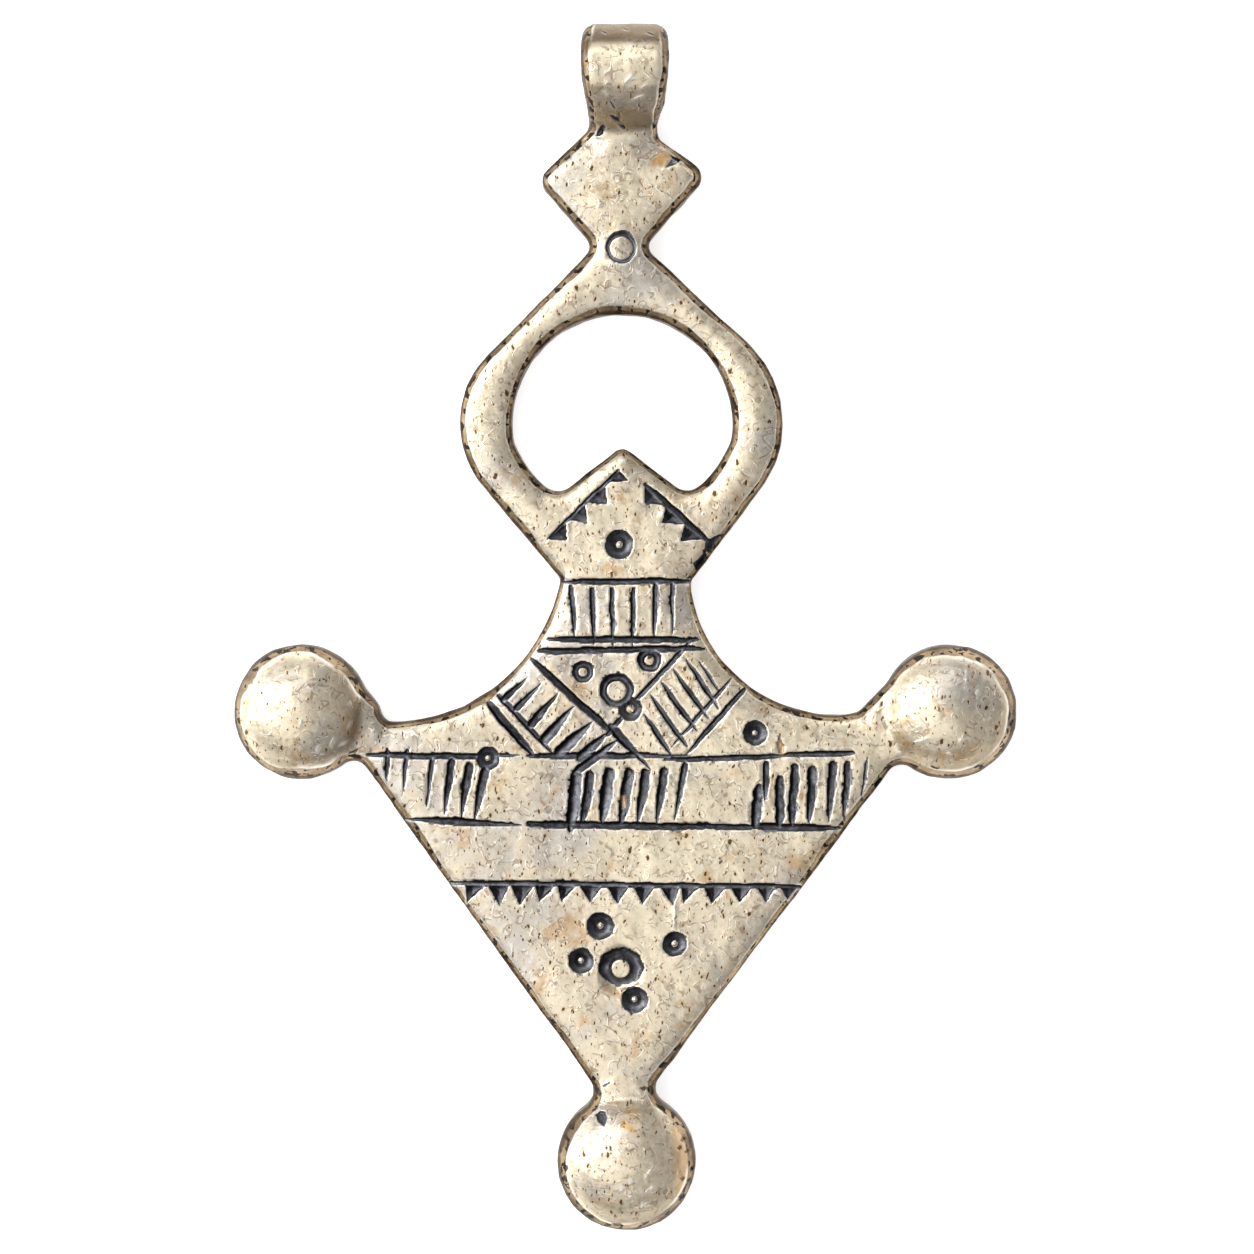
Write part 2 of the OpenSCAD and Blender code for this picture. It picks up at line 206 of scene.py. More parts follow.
STROKES: dict[Datum, list[Stroke]] = table(Stroke, {
    Datum.CROWN: [
        (-0.072, 0.41, -0.042, 0.362, 0.009, 0.2, 0.3), (-0.077, 0.338, -0.03, 0.312, 0.02, 0.5, 0.1),
        (-0.042, 0.324, 0.016, 0.272, 0.026, 0.15, 0.3), (0.093, 0.413, 0.113, 0.36, 0.0085, 0.3, 0.4),
        (0.0, 0.4883, 0.0699, 0.5641, -0.0105), (0.0928, 0.4537, 0.1633, 0.5183, -0.0075),
        (-0.1127, 0.4948, -0.0599, 0.5124, -0.008), (0.0399, 0.4008, 0.1456, 0.4478, -0.009),
        (-0.0657, 0.4185, -0.1127, 0.4654, -0.008), (-0.124, 0.824, -0.083, 0.794, 0.008),
        (-0.007, 0.841, 0.04, 0.818, 0.0075), (0.14, 0.812, 0.187, 0.783, 0.008, 0.3, 0.4),
        (0.105, 0.777, 0.163, 0.736, 0.006), (-0.207, 0.113, -0.077, 0.116, -0.006),
    ],
    Datum.HOLE: [
        (-0.01, -0.204, -0.342, -0.527, 0.02, 0.1, 0.3), (0.095, -0.266, 0.392, -0.532, 0.033, 0.25, 0.2),
    ],
    Datum.COLLAR: [
        (-0.463, 0.06, 0.504, 0.067, 0.0521, 0.25, 0.25), (-0.407, 0.037, -0.373, -0.365, 0.043, 0.1, 0.45),
        (-0.249, 0.022, -0.229, -0.424, 0.043, 0.1, 0.45), (-0.101, 0.022, -0.091, -0.447, 0.04, 0.1, 0.45),
        (0.065, 0.022, 0.055, -0.439, 0.04, 0.1, 0.45), (0.225, 0.06, 0.217, -0.372, 0.043, 0.1, 0.45),
        (0.348, 0.06, 0.351, -0.361, 0.038, 0.1, 0.7),
        (-0.59, -0.369, 0.557, -0.372, 0.0558, 0.22, 0.22, 7),
        (-0.657, -0.456, 0.601, -0.434, 0.0521, 0.12, 0.2, 5),
        (-0.712, -0.505, -0.121, -1.042, 0.058, 0.25, 0.15),
        (-0.121, -0.998, 0.199, -1.348, 0.07, 0.15, 0.7), (0.495, -0.377, 0.08, -0.819, 0.0417, 0.25, 0.1),
        (-0.022, -0.951, -0.143, -1.087, 0.042, 0.15, 0.2),
        (-0.724, -0.646, -0.924, -0.835, 0.056, 0.7, 0.08, 3),
        (-0.62, -0.686, -0.822, -0.902, 0.052, 0.75, 0.08),
        (-0.492, -0.755, -0.715, -1.021, 0.066, 0.7, 0.08, 2),
        (-0.371, -0.859, -0.62, -1.13, 0.086, 0.7, 0.08, 3),
        (-0.24, -0.976, -0.513, -1.23, 0.09, 0.6, 0.12),
        (-0.126, -1.061, -0.359, -1.268, 0.08, 0.5, 0.15, 2),
        (-0.05, -1.111, -0.397, -1.377, 0.068, 0.45, 0.2),
        (-1.022, -0.834, -0.676, -1.24, 0.064, 0.12, 0.3, 2),
        (-0.95, -0.78, -0.527, -1.225, 0.0447, 0.1, 0.35, 3),
        (0.132, -0.914, 0.341, -1.224, 0.0425, 0.4, 0.3), (0.18, -0.777, 0.465, -1.176, 0.0425, 0.35, 0.3),
        (0.265, -0.679, 0.542, -1.062, 0.0425, 0.3, 0.35, 2),
        (0.35, -0.577, 0.618, -0.963, 0.0425, 0.4, 0.35), (0.44, -0.496, 0.704, -0.895, 0.041, 0.4, 0.35),
        (0.53, -0.499, 0.726, -0.801, 0.03, 0.5, 0.5), (0.798, -0.654, 0.33, -1.185, 0.0342, 0.3, 0.4),
        (0.896, -0.73, 0.45, -1.228, 0.0447, 0.15, 0.35, 2),
    ],
    Datum.BAND: [
        (-0.402, -0.066, -0.227, -0.069, 0.0105, 0.3, 0.05),
        (-0.194, -0.066, -0.157, -0.067, 0.0062, 0.05, 0.8),
        (-0.153, -0.068, 0.103, -0.067, 0.0108, 0.2, 0.4, 4),
        (0.057, -0.074, 0.249, -0.068, 0.0092, 0.25, 0.2, 3),
        (0.243, -0.066, 0.355, -0.064, 0.0092, 0.2, 0.2),
        (-0.365, -0.058, -0.368, -0.11, 0.0086, 0.12, 0.5),
        (-0.334, -0.055, -0.343, -0.129, 0.0077, 0.12, 0.6),
        (-0.296, -0.061, -0.306, -0.151, 0.0083, 0.1, 0.6),
        (-0.266, -0.072, -0.279, -0.161, 0.0123, 0.08, 0.6),
        (-0.24, -0.078, -0.252, -0.165, 0.0145, 0.08, 0.6),
        (-0.215, -0.086, -0.232, -0.17, 0.0151, 0.08, 0.6),
        (-0.075, -0.092, -0.084, -0.186, 0.02, 0.06, 0.3, 3),
        (-0.0525, -0.092, -0.065, -0.171, 0.015, 0.06, 0.3, 3),
        (-0.023, -0.087, -0.036, -0.173, 0.0185, 0.06, 0.35, 3),
        (0.007, -0.088, -0.007, -0.175, 0.0175, 0.06, 0.35, 3),
        (0.033, -0.088, 0.02, -0.173, 0.0154, 0.06, 0.45, 2),
        (0.061, -0.085, 0.047, -0.175, 0.0139, 0.06, 0.5),
        (0.093, -0.078, 0.075, -0.171, 0.0105, 0.08, 0.65),
        (0.207, -0.111, 0.2, -0.18, 0.0169, 0.15, 0.2, 4),
        (0.218, -0.076, 0.215, -0.137, 0.0114, 0.08, 0.4, 3),
        (0.239, -0.097, 0.237, -0.178, 0.0154, 0.2, 0.2, 4),
        (0.261, -0.08, 0.257, -0.176, 0.0145, 0.08, 0.25, 4),
        (0.289, -0.083, 0.284, -0.172, 0.0148, 0.08, 0.35, 3),
        (0.32, -0.076, 0.314, -0.172, 0.0142, 0.08, 0.5, 3),
        (0.343, -0.076, 0.337, -0.169, 0.0123, 0.08, 0.45, 3),
        (0.372, -0.074, 0.363, -0.139, 0.0055, 0.15, 0.6),
        (-0.341, -0.165, -0.151, -0.174, 0.0145, 0.42, 0.58, 5),
        (-0.153, -0.172, 0.125, -0.177, 0.0126, 0.1, 0.15, 6),
        (0.09, -0.176, 0.197, -0.177, 0.01, 0.1, 0.1, 3),
        (0.201, -0.176, 0.334, -0.179, 0.0123, 0.1, 0.35, 3),
        (-0.271, -0.263, 0.274, -0.269, 0.009, 0.1, 0.12, 9),
        (0.234, -0.035, 0.246, -0.063, 0.004, 0.3, 0.3), (-0.4272, -0.0274, -0.4189, -0.0107, -0.003),
        (-0.4556, -0.0591, -0.4439, -0.034, -0.0028), (-0.4748, -0.0624, -0.4648, -0.0457, -0.003),
        (-0.5015, -0.0299, -0.4915, -0.0073, -0.0022), (-0.4264, 0.0085, -0.4217, 0.0194, -0.003),
        (-0.4431, -0.0541, -0.4214, -0.0407, -0.0028), (-0.5098, 0.0244, -0.5015, 0.0427, 0.001),
        (-0.4664, 0.0536, -0.4564, 0.0478, 0.0022), (0.4631, 0.0528, 0.5049, 0.0736, 0.0012),
        (0.5408, 0.0427, 0.5386, 0.0177, -0.0034), (0.5219, 0.0795, 0.5226, 0.0311, -0.0024),
        (0.4389, -0.0477, 0.4673, -0.0377, -0.0028), (0.4898, -0.0616, 0.5032, -0.0628, -0.003),
        (0.5082, -0.0516, 0.5191, -0.0324, -0.0028), (0.5449, -0.014, 0.5599, -0.0057, -0.0026),
        (0.4448, -0.0274, 0.4565, -0.0157, -0.0024), (0.5433, 0.011, 0.5766, 0.0177, 0.0012),
    ],
    Datum.FOOT: [
        (0.109, -0.428, 0.11, -0.484, -0.0058, 0.2, 0.2),
        (-0.052, -0.829, -0.029, -0.822, 0.0036, 0.3, 0.4), (0.0414, -1.0296, 0.0656, -0.9935, -0.0045),
        (0.0401, -1.0622, 0.0712, -1.0398, -0.0045), (0.0235, -1.0933, 0.0503, -1.0775, -0.0048),
        (0.0057, -1.0755, 0.0146, -1.0597, -0.004), (-0.0388, -1.0424, -0.0299, -1.0342, -0.0035),
        (-0.0108, -1.0571, -0.0032, -1.0469, -0.0035),
    ],
})

RINGS: dict[Datum, list[RingPunch]] = table(RingPunch, {
    Datum.HOLE: [
        (-0.013, -0.543, 0.066, 0.066, 0.18, 0), (-0.004, 0.795, 0.069, 0.075, 0.72, 0),
    ],
    Datum.COLLAR: [
        (-0.315, -0.605, 0.083, 0.083, 0.38, 0), (0.18, -0.516, 0.092, 0.092, 0.37, 0),
        (-0.064, -0.739, 0.131, 0.127, 0.54, 0), (0.038, -0.886, 0.091, 0.091, 0.3, 1),
        (0.967, -1.066, 0.095, 0.095, 0.14, 2), (-1.023, -1.254, 0.089, 0.089, 0.15, 2),
    ],
    Datum.FOOT: [
        (-0.055, -0.475, 0.031, 0.031, 0.15, 0), (-0.098, -0.552, 0.029, 0.029, 0.15, 0),
        (-0.01, -0.565, 0.051, 0.041, 0.38, 0), (0.11, -0.515, 0.028, 0.028, 0.18, 0),
        (0.021, -0.638, 0.03, 0.03, 0.15, 0),
    ],
})

TEETH: dict[Datum, list[Tooth]] = table(Tooth, {
    Datum.HOLE: [
        (-0.017, -0.206, -0.079, -0.264, 0.032, -0.257), (-0.079, -0.264, -0.165, -0.356, -0.065, -0.363),
        (-0.165, -0.356, -0.25, -0.435, -0.154, -0.446), (-0.25, -0.435, -0.338, -0.52, -0.248, -0.526),
        (0.101, -0.269, 0.197, -0.367, 0.098, -0.357), (0.197, -0.367, 0.28, -0.455, 0.176, -0.446),
        (0.28, -0.455, 0.381, -0.518, 0.259, -0.529),
    ],
    # A run along one line: both ends of the base, then the tip
    Datum.BAND: [
        (ax, -0.265, bx, -0.267, tx, ty) for ax, bx, tx, ty in (
            (-0.247, -0.215, -0.244, -0.294), (-0.214, -0.178, -0.193, -0.3),
            (-0.177, -0.139, -0.162, -0.299), (-0.139, -0.106, -0.133, -0.294),
            (-0.105, -0.074, -0.098, -0.293), (-0.072, -0.033, -0.054, -0.294),
            (-0.031, 0.007, -0.012, -0.297), (0.01, 0.048, 0.027, -0.297), (0.05, 0.085, 0.074, -0.299),
            (0.085, 0.117, 0.089, -0.295), (0.119, 0.158, 0.133, -0.296), (0.159, 0.198, 0.176, -0.295),
            (0.199, 0.234, 0.217, -0.294), (0.234, 0.268, 0.25, -0.289),
        )
    ],
})

# What the smallest flaws have in common
PIT = (0.003, 0.95, 0.0, 0.1)

CHIPS_AND_SHADOWS: dict[Datum, list[ChipOrShadow]] = table(ChipOrShadow, {
    Datum.CROWN: [
        (0.0208, 1.0, 0.45, 0.0, (-0.157, 0.235, -0.139, 0.272, -0.114, 0.307, -0.097, 0.285,
            -0.11, 0.248, -0.136, 0.233)),
        (0.0142, 0.8, 0.1, 0.0, (0.175, 0.307, 0.204, 0.31, 0.201, 0.28, 0.175, 0.278)),
        (0.0113, 0.55, 0.2, 0.4, (-0.028, 0.363, -0.007, 0.348, -0.001, 0.316, -0.025, 0.325)),
        (0.0283, 1.0, 0.15, 0.0, (0.274, 0.132, 0.354, 0.098, 0.331, 0.083, 0.291, 0.104)),
        (0.0151, 1.0, 1.0, 0.0, (0.287, 0.103, 0.331, 0.078, 0.251, 0.046)),
        (0.0, 0.0, 0.0, 1.0, (0.16, 0.072, 0.222, 0.148, 0.281, 0.125, 0.287, 0.101, 0.248, 0.049)),
        (0.0113, 0.0, 0.0, 0.5, (0.345, 0.078, 0.41, 0.066, 0.451, 0.025, 0.433, 0.002, 0.392, 0.013)),
        (0.0094, 0.8, 0.2, 0.0, (-0.453, 0.002, -0.424, 0.034, -0.415, 0.025, -0.442, -0.016)),
        (0.004, 0.85, 0.3, 0.0, (-0.342, 0.107, -0.309, 0.134, -0.301, 0.116, -0.33, 0.09)),
    ],
    Datum.HOLE: [
        (0.015, 1.0, 0.25, 0.0, (0.444, -0.491, 0.376, -0.522, 0.363, -0.585, 0.408, -0.558)),
        (0.015, 1.0, 0.05, 0.0, (0.376, -0.567, 0.318, -0.626, 0.331, -0.662, 0.381, -0.608)),
    ],
    Datum.BAND: [
        (0.004, 0.55, 0.2, 0.8, (0.232, -0.045, 0.24, -0.043, 0.246, -0.052, 0.244, -0.065, 0.235, -0.063)),
        (0.0062, 1.0, 0.1, 0.3, (0.382, -0.111, 0.391, -0.102, 0.399, -0.099, 0.395, -0.109,
            0.386, -0.117)),
        (0.0035, 0.9, 0.05, 0.3, (-0.428, -0.064, -0.419, -0.058, -0.41, -0.055, -0.414, -0.063)),
        (0.003, 0.0, 0.0, 1.0, (-0.006, -0.129, 0.0, -0.129, 0.001, -0.146, -0.004, -0.148)),
        (0.003, 0.9, 0.1, 0.3, (0.393, 0.015, 0.397, 0.018, 0.398, 0.009, 0.393, 0.009)),
        (0.003, 0.85, 0.05, 0.4, (0.589, -0.015, 0.596, -0.01, 0.599, -0.013, 0.592, -0.023)),
        (0.003, 0.85, 0.05, 0.4, (0.585, -0.026, 0.589, -0.024, 0.59, -0.032, 0.586, -0.036)),
        (0.003, 0.85, 0.05, 0.4, (0.468, -0.079, 0.475, -0.082, 0.484, -0.085, 0.481, -0.088,
            0.47, -0.084)),
    ],
    Datum.FOOT: [
        (0.0086, 1.0, 0.65, 0.0, (-0.066, -0.891, -0.056, -0.882, -0.043, -0.884, -0.039, -0.896,
            -0.045, -0.915, -0.06, -0.907)),
        (0.0, 0.0, 0.0, 1.0, (-0.012, -0.896, 0.004, -0.905, 0.033, -0.915, 0.019, -0.927, -0.007, -0.916)),
        # Painted shadow at the foot knob's right throat, then at its left, pressed in a little
        (0.0043, 0.85, 0.05, 0.4, (0.03, -0.833, 0.044, -0.83, 0.055, -0.833, 0.039, -0.841)),
        (0.0036, 0.8, 0.05, 0.3, (-0.052, -0.831, -0.043, -0.826, -0.032, -0.823, -0.045, -0.833)),
        (0.0036, 0.85, 0.05, 0.4, (-0.034, -1.133, -0.012, -1.131, -0.001, -1.139, -0.021, -1.14)),
        (0.0043, 0.9, 0.05, 0.3, (0.124, -1.071, 0.131, -1.065, 0.134, -1.076, 0.127, -1.081)),
        (0.0043, 0.9, 0.05, 0.3, (0.141, -1.011, 0.149, -1.007, 0.151, -1.018, 0.145, -1.023)),
        (0.0036, 0.0, 0.0, 0.0, (-0.016, -0.588, -0.005, -0.586, -0.002, -0.597, -0.012, -0.6)),
        # Painted shadow again at the foot knob's right throat, then at its left
        (0.003, 0.6, 0.05, 0.35, (0.042, -0.834, 0.058, -0.827, 0.064, -0.846, 0.056, -0.853)),
        (0.003, 0.8, 0.05, 0.3, (-0.065, -0.823, -0.052, -0.847, -0.056, -0.856, -0.069, -0.841)),
        (0.0, 0.0, 0.0, 0.45, (0.102, -0.923, 0.119, -0.915, 0.148, -0.972, 0.15, -1.03, 0.119, -1.084,
            0.108, -1.03)),
        (*PIT, (0.1196, -0.9477, 0.1284, -0.9403, 0.136, -0.9464, 0.1271, -0.9539)),
        (*PIT, (0.112, -0.9645, 0.1194, -0.9578, 0.1255, -0.9632, 0.1181, -0.9699)),
        (*PIT, (0.1287, -0.9735, 0.1368, -0.9668, 0.1436, -0.9722, 0.1355, -0.9789)),
        (*PIT, (0.119, -1.0328, 0.1271, -1.0253, 0.134, -1.0315, 0.1258, -1.0389)),
        (*PIT, (0.1157, -1.0753, 0.1252, -1.0671, 0.1334, -1.074, 0.1239, -1.0821)),
        (*PIT, (-0.1392, -1.0121, -0.1318, -1.0012, -0.1257, -1.0109, -0.1331, -1.0218)),
        (*PIT, (-0.1425, -1.0353, -0.1344, -1.0258, -0.1275, -1.034, -0.1356, -1.0436)),
        (*PIT, (-0.1007, -1.1075, -0.0918, -1.1008, -0.0843, -1.1062, -0.0931, -1.1129)),
    ],
})

NARROW_EDGES: list[NarrowEdge] = [
    NarrowEdge(Datum.HOLE, 0.0, -0.42, 0.42, 0.9), NarrowEdge(Datum.COLLAR, 0.0, -0.35, 1.1, 0.9),
    NarrowEdge(Datum.HOLE, -0.50, -0.05, 0.55, 0.35), NarrowEdge(Datum.HOLE, 0.50, -0.05, 0.55, 0.35),
    NarrowEdge(Datum.CROWN, -0.35, -0.20, 0.35, 0.35), NarrowEdge(Datum.CROWN, 0.25, 0.22, 0.25, 0.35),
    NarrowEdge(Datum.BAND, -0.30, 0.0, 0.16, 0.25), NarrowEdge(Datum.BAND, 0.30, 0.0, 0.16, 0.35),
    NarrowEdge(Datum.FOOT, 0.0, -0.38, 0.42, 0.65),
]

BAIL_TAPER: list[RollWidth] = [
    RollWidth(-0.60, 0.40, 0.34), RollWidth(-0.52, 0.40, 0.35), RollWidth(-0.39, 0.41, 0.39),
    RollWidth(-0.24, 0.44, 0.445), RollWidth(-0.04, 0.485, 0.48), RollWidth(0.11, 0.498, 0.485),
    RollWidth(0.31, 0.487, 0.482), RollWidth(0.43, 0.47, 0.468), RollWidth(0.48, 0.435, 0.44),
    RollWidth(0.50, 0.40, 0.41),
]


class LatticeNoise:
    """Smooth noise between -1 and 1 on a seeded square lattice, for marks left by hand."""

    SIDE = 256
    START = 80.5

    def __init__(self, cell: float, seed: int) -> None:
        """Draws the lattice.

        Args:
            cell: lattice spacing in millimetres.
            seed: which lattice.
        """
        self.cell = cell
        self.lattice = np.random.default_rng(SEED + seed).uniform(-1.0, 1.0, (self.SIDE, self.SIDE))

    def __call__(self, x: np.ndarray, y: np.ndarray | float = 0.0) -> np.ndarray:
        """The noise at places in millimetres.

        Args:
            x: their x.
            y: their y, one for all or one for each.

        Returns:
            A value for each place.
        """
        u, v = np.asarray(x) / self.cell + self.START, np.asarray(y) / self.cell + self.START
        i, j = np.floor(u).astype(int), np.floor(v).astype(int)
        fu, fv = u - i, v - j
        fu, fv = fu * fu * (3 - 2 * fu), fv * fv * (3 - 2 * fv)
        n = self.SIDE
        sides = ((i % n, 1 - fu), ((i + 1) % n, fu))
        near, far = (sum(self.lattice[at, row % n] * share for at, share in sides) for row in (j, j + 1))
        return near * (1 - fv) + far * fv


def smoothstep(low: float, high: float, value: np.ndarray) -> np.ndarray:
    """0 at low, 1 at high and smooth between them; low may be the larger."""
    t = np.clip((value - low) / (high - low), 0.0, 1.0)
    return t * t * (3 - 2 * t)


@dataclass
class Pressing:
    """What the marks do to a set of points: depth pressed in, masks of dark groove, of the burr, raised and
    painted bright as a highlight, and of ochre stain, how light the groove's black is, partly a painted
    sheen, and the distance outside the nearest mark's edge."""

    depth: np.ndarray
    groove: np.ndarray
    burr: np.ndarray
    edge: np.ndarray
    tone: np.ndarray
    stain: np.ndarray

    @classmethod
    def none(cls, count: int) -> "Pressing":
        """Points that no mark touches."""
        zeros = [np.zeros(count) for _ in range(5)]
        return cls(*zeros[:3], np.full(count, FAR), *zeros[3:])

    def add(
        self, at: np.ndarray, depth: np.ndarray, groove: np.ndarray, burr: np.ndarray, edge: np.ndarray,
        tone: np.ndarray | float = 0.0,
    ) -> None:
        """Presses one mark into some of the points.

        Args:
            at: which points.
            depth: how deep each is pressed, below 0 where it is raised.
            groove: how dark each is.
            burr: how bright each is, the burr painted light as a highlight.
            edge: the distance of each outside the mark's edge.
            tone: how light the black is, mostly a painted sheen.
        """
        self.depth[at] = np.where(np.abs(depth) > np.abs(self.depth[at]), depth, self.depth[at])
        self.tone[at] = np.where(groove > self.groove[at], tone, self.tone[at])
        self.groove[at] = np.maximum(self.groove[at], groove)
        self.burr[at] = np.maximum(self.burr[at], burr)
        self.edge[at] = np.minimum(self.edge[at], edge)


@dataclass
class Graver:
    """The tools that struck the marks: a graver for lines, a ring punch and a three-cornered punch.
    Depths, heights, widths and reaches are in millimetres, apart from line_depth, a share of the
    line's width, keel, a share of half of it, and boss_drop, a share of the ring's radius."""

    reach: float = 0.22
    margin: float = 0.6
    burr_height: float = 0.035
    burr_off: float = 0.045
    burr_width: float = 0.055
    # The line: its hollow is deepest at the keel, and shares say how far it swings at a beat and at most
    line_depth: float = 0.55
    deepest: float = 0.30
    keel: float = 0.40
    line_hollow: float = 1.7
    line_wander: float = 0.045
    line_ragged: float = 0.02
    width_ragged: float = 0.10
    beat_swing: float = 0.04
    most_swing: float = 0.26
    ridge_share: float = 0.5
    soft: float = 0.035
    # The ring: with a boss below the share small_boss it is a bowl with a bright point
    ring_depth: float = 0.34
    ring_hollow: float = 2.2
    ring_uneven: float = 0.05
    bowl_hollow: float = 3.2
    small_boss: float = 0.3
    boss_drop: float = 0.09
    boss_height: float = 0.16
    boss_uneven: float = 0.08
    # Columns: how far right and up from the ring's middle
    dots: tuple[tuple[float, float], ...] = ((-0.15, 0.22), (0.17, -0.15))
    dot_height: float = 0.16
    dot_radius: float = 0.17
    turned_line: float = 0.17
    turned_depth: float = 0.018
    # The tooth and the chip: a wall is how steeply its side falls
    tooth_depth: float = 0.28
    tooth_wall: float = 1.5
    tooth_reach: float = 1.6
    chip_wall: float = 1.4
    chip_reach: float = 2.2
    side_ragged: float = 0.03
    wander: LatticeNoise = field(default_factory=lambda: LatticeNoise(0.9, 1))
    ragged: LatticeNoise = field(default_factory=lambda: LatticeNoise(0.22, 2))

    def burr(self, edge: np.ndarray, side: np.ndarray | float) -> np.ndarray:
        """The burr beside an edge, raised and painted bright as a highlight, stronger where side is near 1.
        """
        ridge = np.exp(-(((edge - self.burr_off) / self.burr_width) ** 2))
        return ridge * (0.45 + 0.55 * np.clip(side, 0.0, 1.0))

    @staticmethod
    def taper(share: float) -> float:
        """The power by which an end narrows: blunt where it is short, a straight wedge where long."""
        return float(np.interp(share, (0.08, 0.5), (0.16, 0.72)))

    def strike(self, out: Pressing, points: np.ndarray, datum: Datum, mark: Stroke, index: int) -> None:
        """Strikes one line.

        Args:
            out: what the marks have done so far.
            points: (n, 2) places in millimetres.
            datum: what the mark is measured from.
            mark: the line.
            index: number of the line, so that no two wander alike.
        """
        a, b = datum.place(mark.x0, mark.y0), datum.place(mark.x1, mark.y1)
        width = abs(datum.length(mark.width))
        length = float(np.hypot(*(b - a)))
        u = (b - a) / length
        n = np.array([-u[1], u[0]])
        rel = points - a
        t, v = rel @ u / length, rel @ n
        at = np.flatnonzero((t > -0.2) & (t < 1.2) & (np.abs(v) < width / 2 + self.margin))
        t, v = t[at], v[at]
        along = t * length
        v = v - self.line_wander * self.wander(along, index * 3.7)
        v = v - self.line_ragged * self.ragged(along, index * 5.3)
        inside = np.clip(t / mark.head, 0, 1) ** self.taper(mark.head)
        inside = inside * np.clip((1 - t) / mark.tail, 0, 1) ** self.taper(mark.tail)
        half = width / 2 * inside * (1 + self.width_ragged * self.ragged(along, index * 2.1 + 40))
        if mark.beats:
            swing = min(self.beat_swing * mark.beats, self.most_swing)
            half = half * (1 - 0.8 * swing + swing * np.abs(np.sin(math.pi * mark.beats * t + index)))
        off_end = np.maximum(np.maximum(-t, t - 1), 0) * length
        edge = np.hypot(np.maximum(np.abs(v) - half, 0), off_end) - np.maximum(half - np.abs(v), 0)
        q = v / np.maximum(half, 1e-4) * math.copysign(1.0, n[1] - n[0])
        fall = np.where(q > self.keel, (q - self.keel) / (1 - self.keel), (self.keel - q) / (1 + self.keel))
        deep = min(self.line_depth * width, self.deepest) * inside ** 0.8
        depth = np.where(np.abs(q) < 1, deep * (1 - np.clip(fall, 0, 1) ** self.line_hollow), 0.0)
        groove = smoothstep(self.soft, -self.soft, edge) * smoothstep(0.0, 0.05, half)
        # Painted sheen: the black is lighter towards the groove's lower right side, whose wall faces the
        # light
        tone = 1.1 * smoothstep(0.6, -0.7, q)
        # Painted highlight on the burr, strongest on the line's lower side
        burr = self.burr(edge, 0.5 - 0.9 * np.sign(v) * n[1]) * smoothstep(0.0, 0.08, half)
        # A raised line has no groove: its whole width is painted bright as a highlight
        if mark.width < 0:
            out.add(at, -self.ridge_share * depth, 0 * groove, np.maximum(groove, burr), edge)
        else:
            out.add(at, depth, groove, burr, edge, tone)

    def punch_ring(
        self, out: Pressing, points: np.ndarray, datum: Datum, mark: RingPunch, index: int
    ) -> None:
        """Punches one ring and leaves its boss standing.

        Args:
            out, points, datum, index: as for strike.
            mark: the ring.
        """
        rel = points - datum.place(mark.x, mark.y)
        radius, squash = datum.length(mark.rx), mark.rx / mark.ry
        r = np.hypot(rel[:, 0], rel[:, 1] * squash)
        at = np.flatnonzero(r < radius + self.margin)
        x, y, r = rel[at, 0], rel[at, 1], r[at]
        turn = np.arctan2(y, x)
        uneven = self.wander(3 * np.cos(turn), 3 * np.sin(turn) + index * 9.1)
        rim = radius * (1 + self.ring_uneven * uneven) + self.line_ragged * self.ragged(x, y + index)
        boss = radius * mark.boss * (1 + self.boss_uneven * uneven)
        edge = r - rim
        if mark.boss > self.small_boss:
            r = np.hypot(x, y + self.boss_drop * radius)
            middle, half = (rim + boss) / 2, (rim - boss) / 2
            q = np.abs(r - middle) / half
            deepest = min(self.ring_depth, 1.1 * float(half.mean()))
            depth = np.where(q < 1, deepest * (1 - q ** self.ring_hollow), 0.0)
            depth = np.where(r < middle, np.maximum(depth, 0.03), depth)
        else:
            bowl = self.ring_depth * (1 - np.clip(r / rim, 0, 1) ** self.bowl_hollow)
            step = 0.07 * smoothstep(0.50, 0.42, r / radius)
            depth = bowl + step - self.boss_height * smoothstep(1.3 * mark.boss, 0.0, r / radius)
        if mark.dots == 1:
            for dx, dy in self.dots:
                dot = smoothstep(self.dot_radius, 0.02, np.hypot(x - dx, y - dy))
                depth = depth - self.dot_height * dot
        if mark.dots == 2:
            depth = depth + self.turned_depth * np.sin(r * math.tau / self.turned_line) * (r < rim)
        is_small = mark.boss < self.small_boss
        open_boss = boss.mean() + 0.04 * is_small
        groove = smoothstep(0.03, -0.04, edge) * smoothstep(open_boss - 0.03, open_boss + 0.05, r)
        side = 0.4 - 0.9 * y / np.maximum(r, 1e-4)
        # Painted sheen: the bowl's black is lighter on its lower right, whose wall faces the light
        lit = 0.5 + 0.5 * (x - y) / np.maximum(1.42 * r, 1e-4)
        tone = 0.2 + 0.6 * lit * smoothstep(0.42, 0.62, r / radius)
        tone += smoothstep(1.6 * mark.boss, 0.0, r / radius)
        # Painted highlight: the small boss's point is painted bright through the burr mask
        shine = smoothstep(1.15 * open_boss, 0.5 * open_boss, r) * is_small
        out.add(at, depth, groove, np.maximum(self.burr(edge, side), shine), edge, tone)

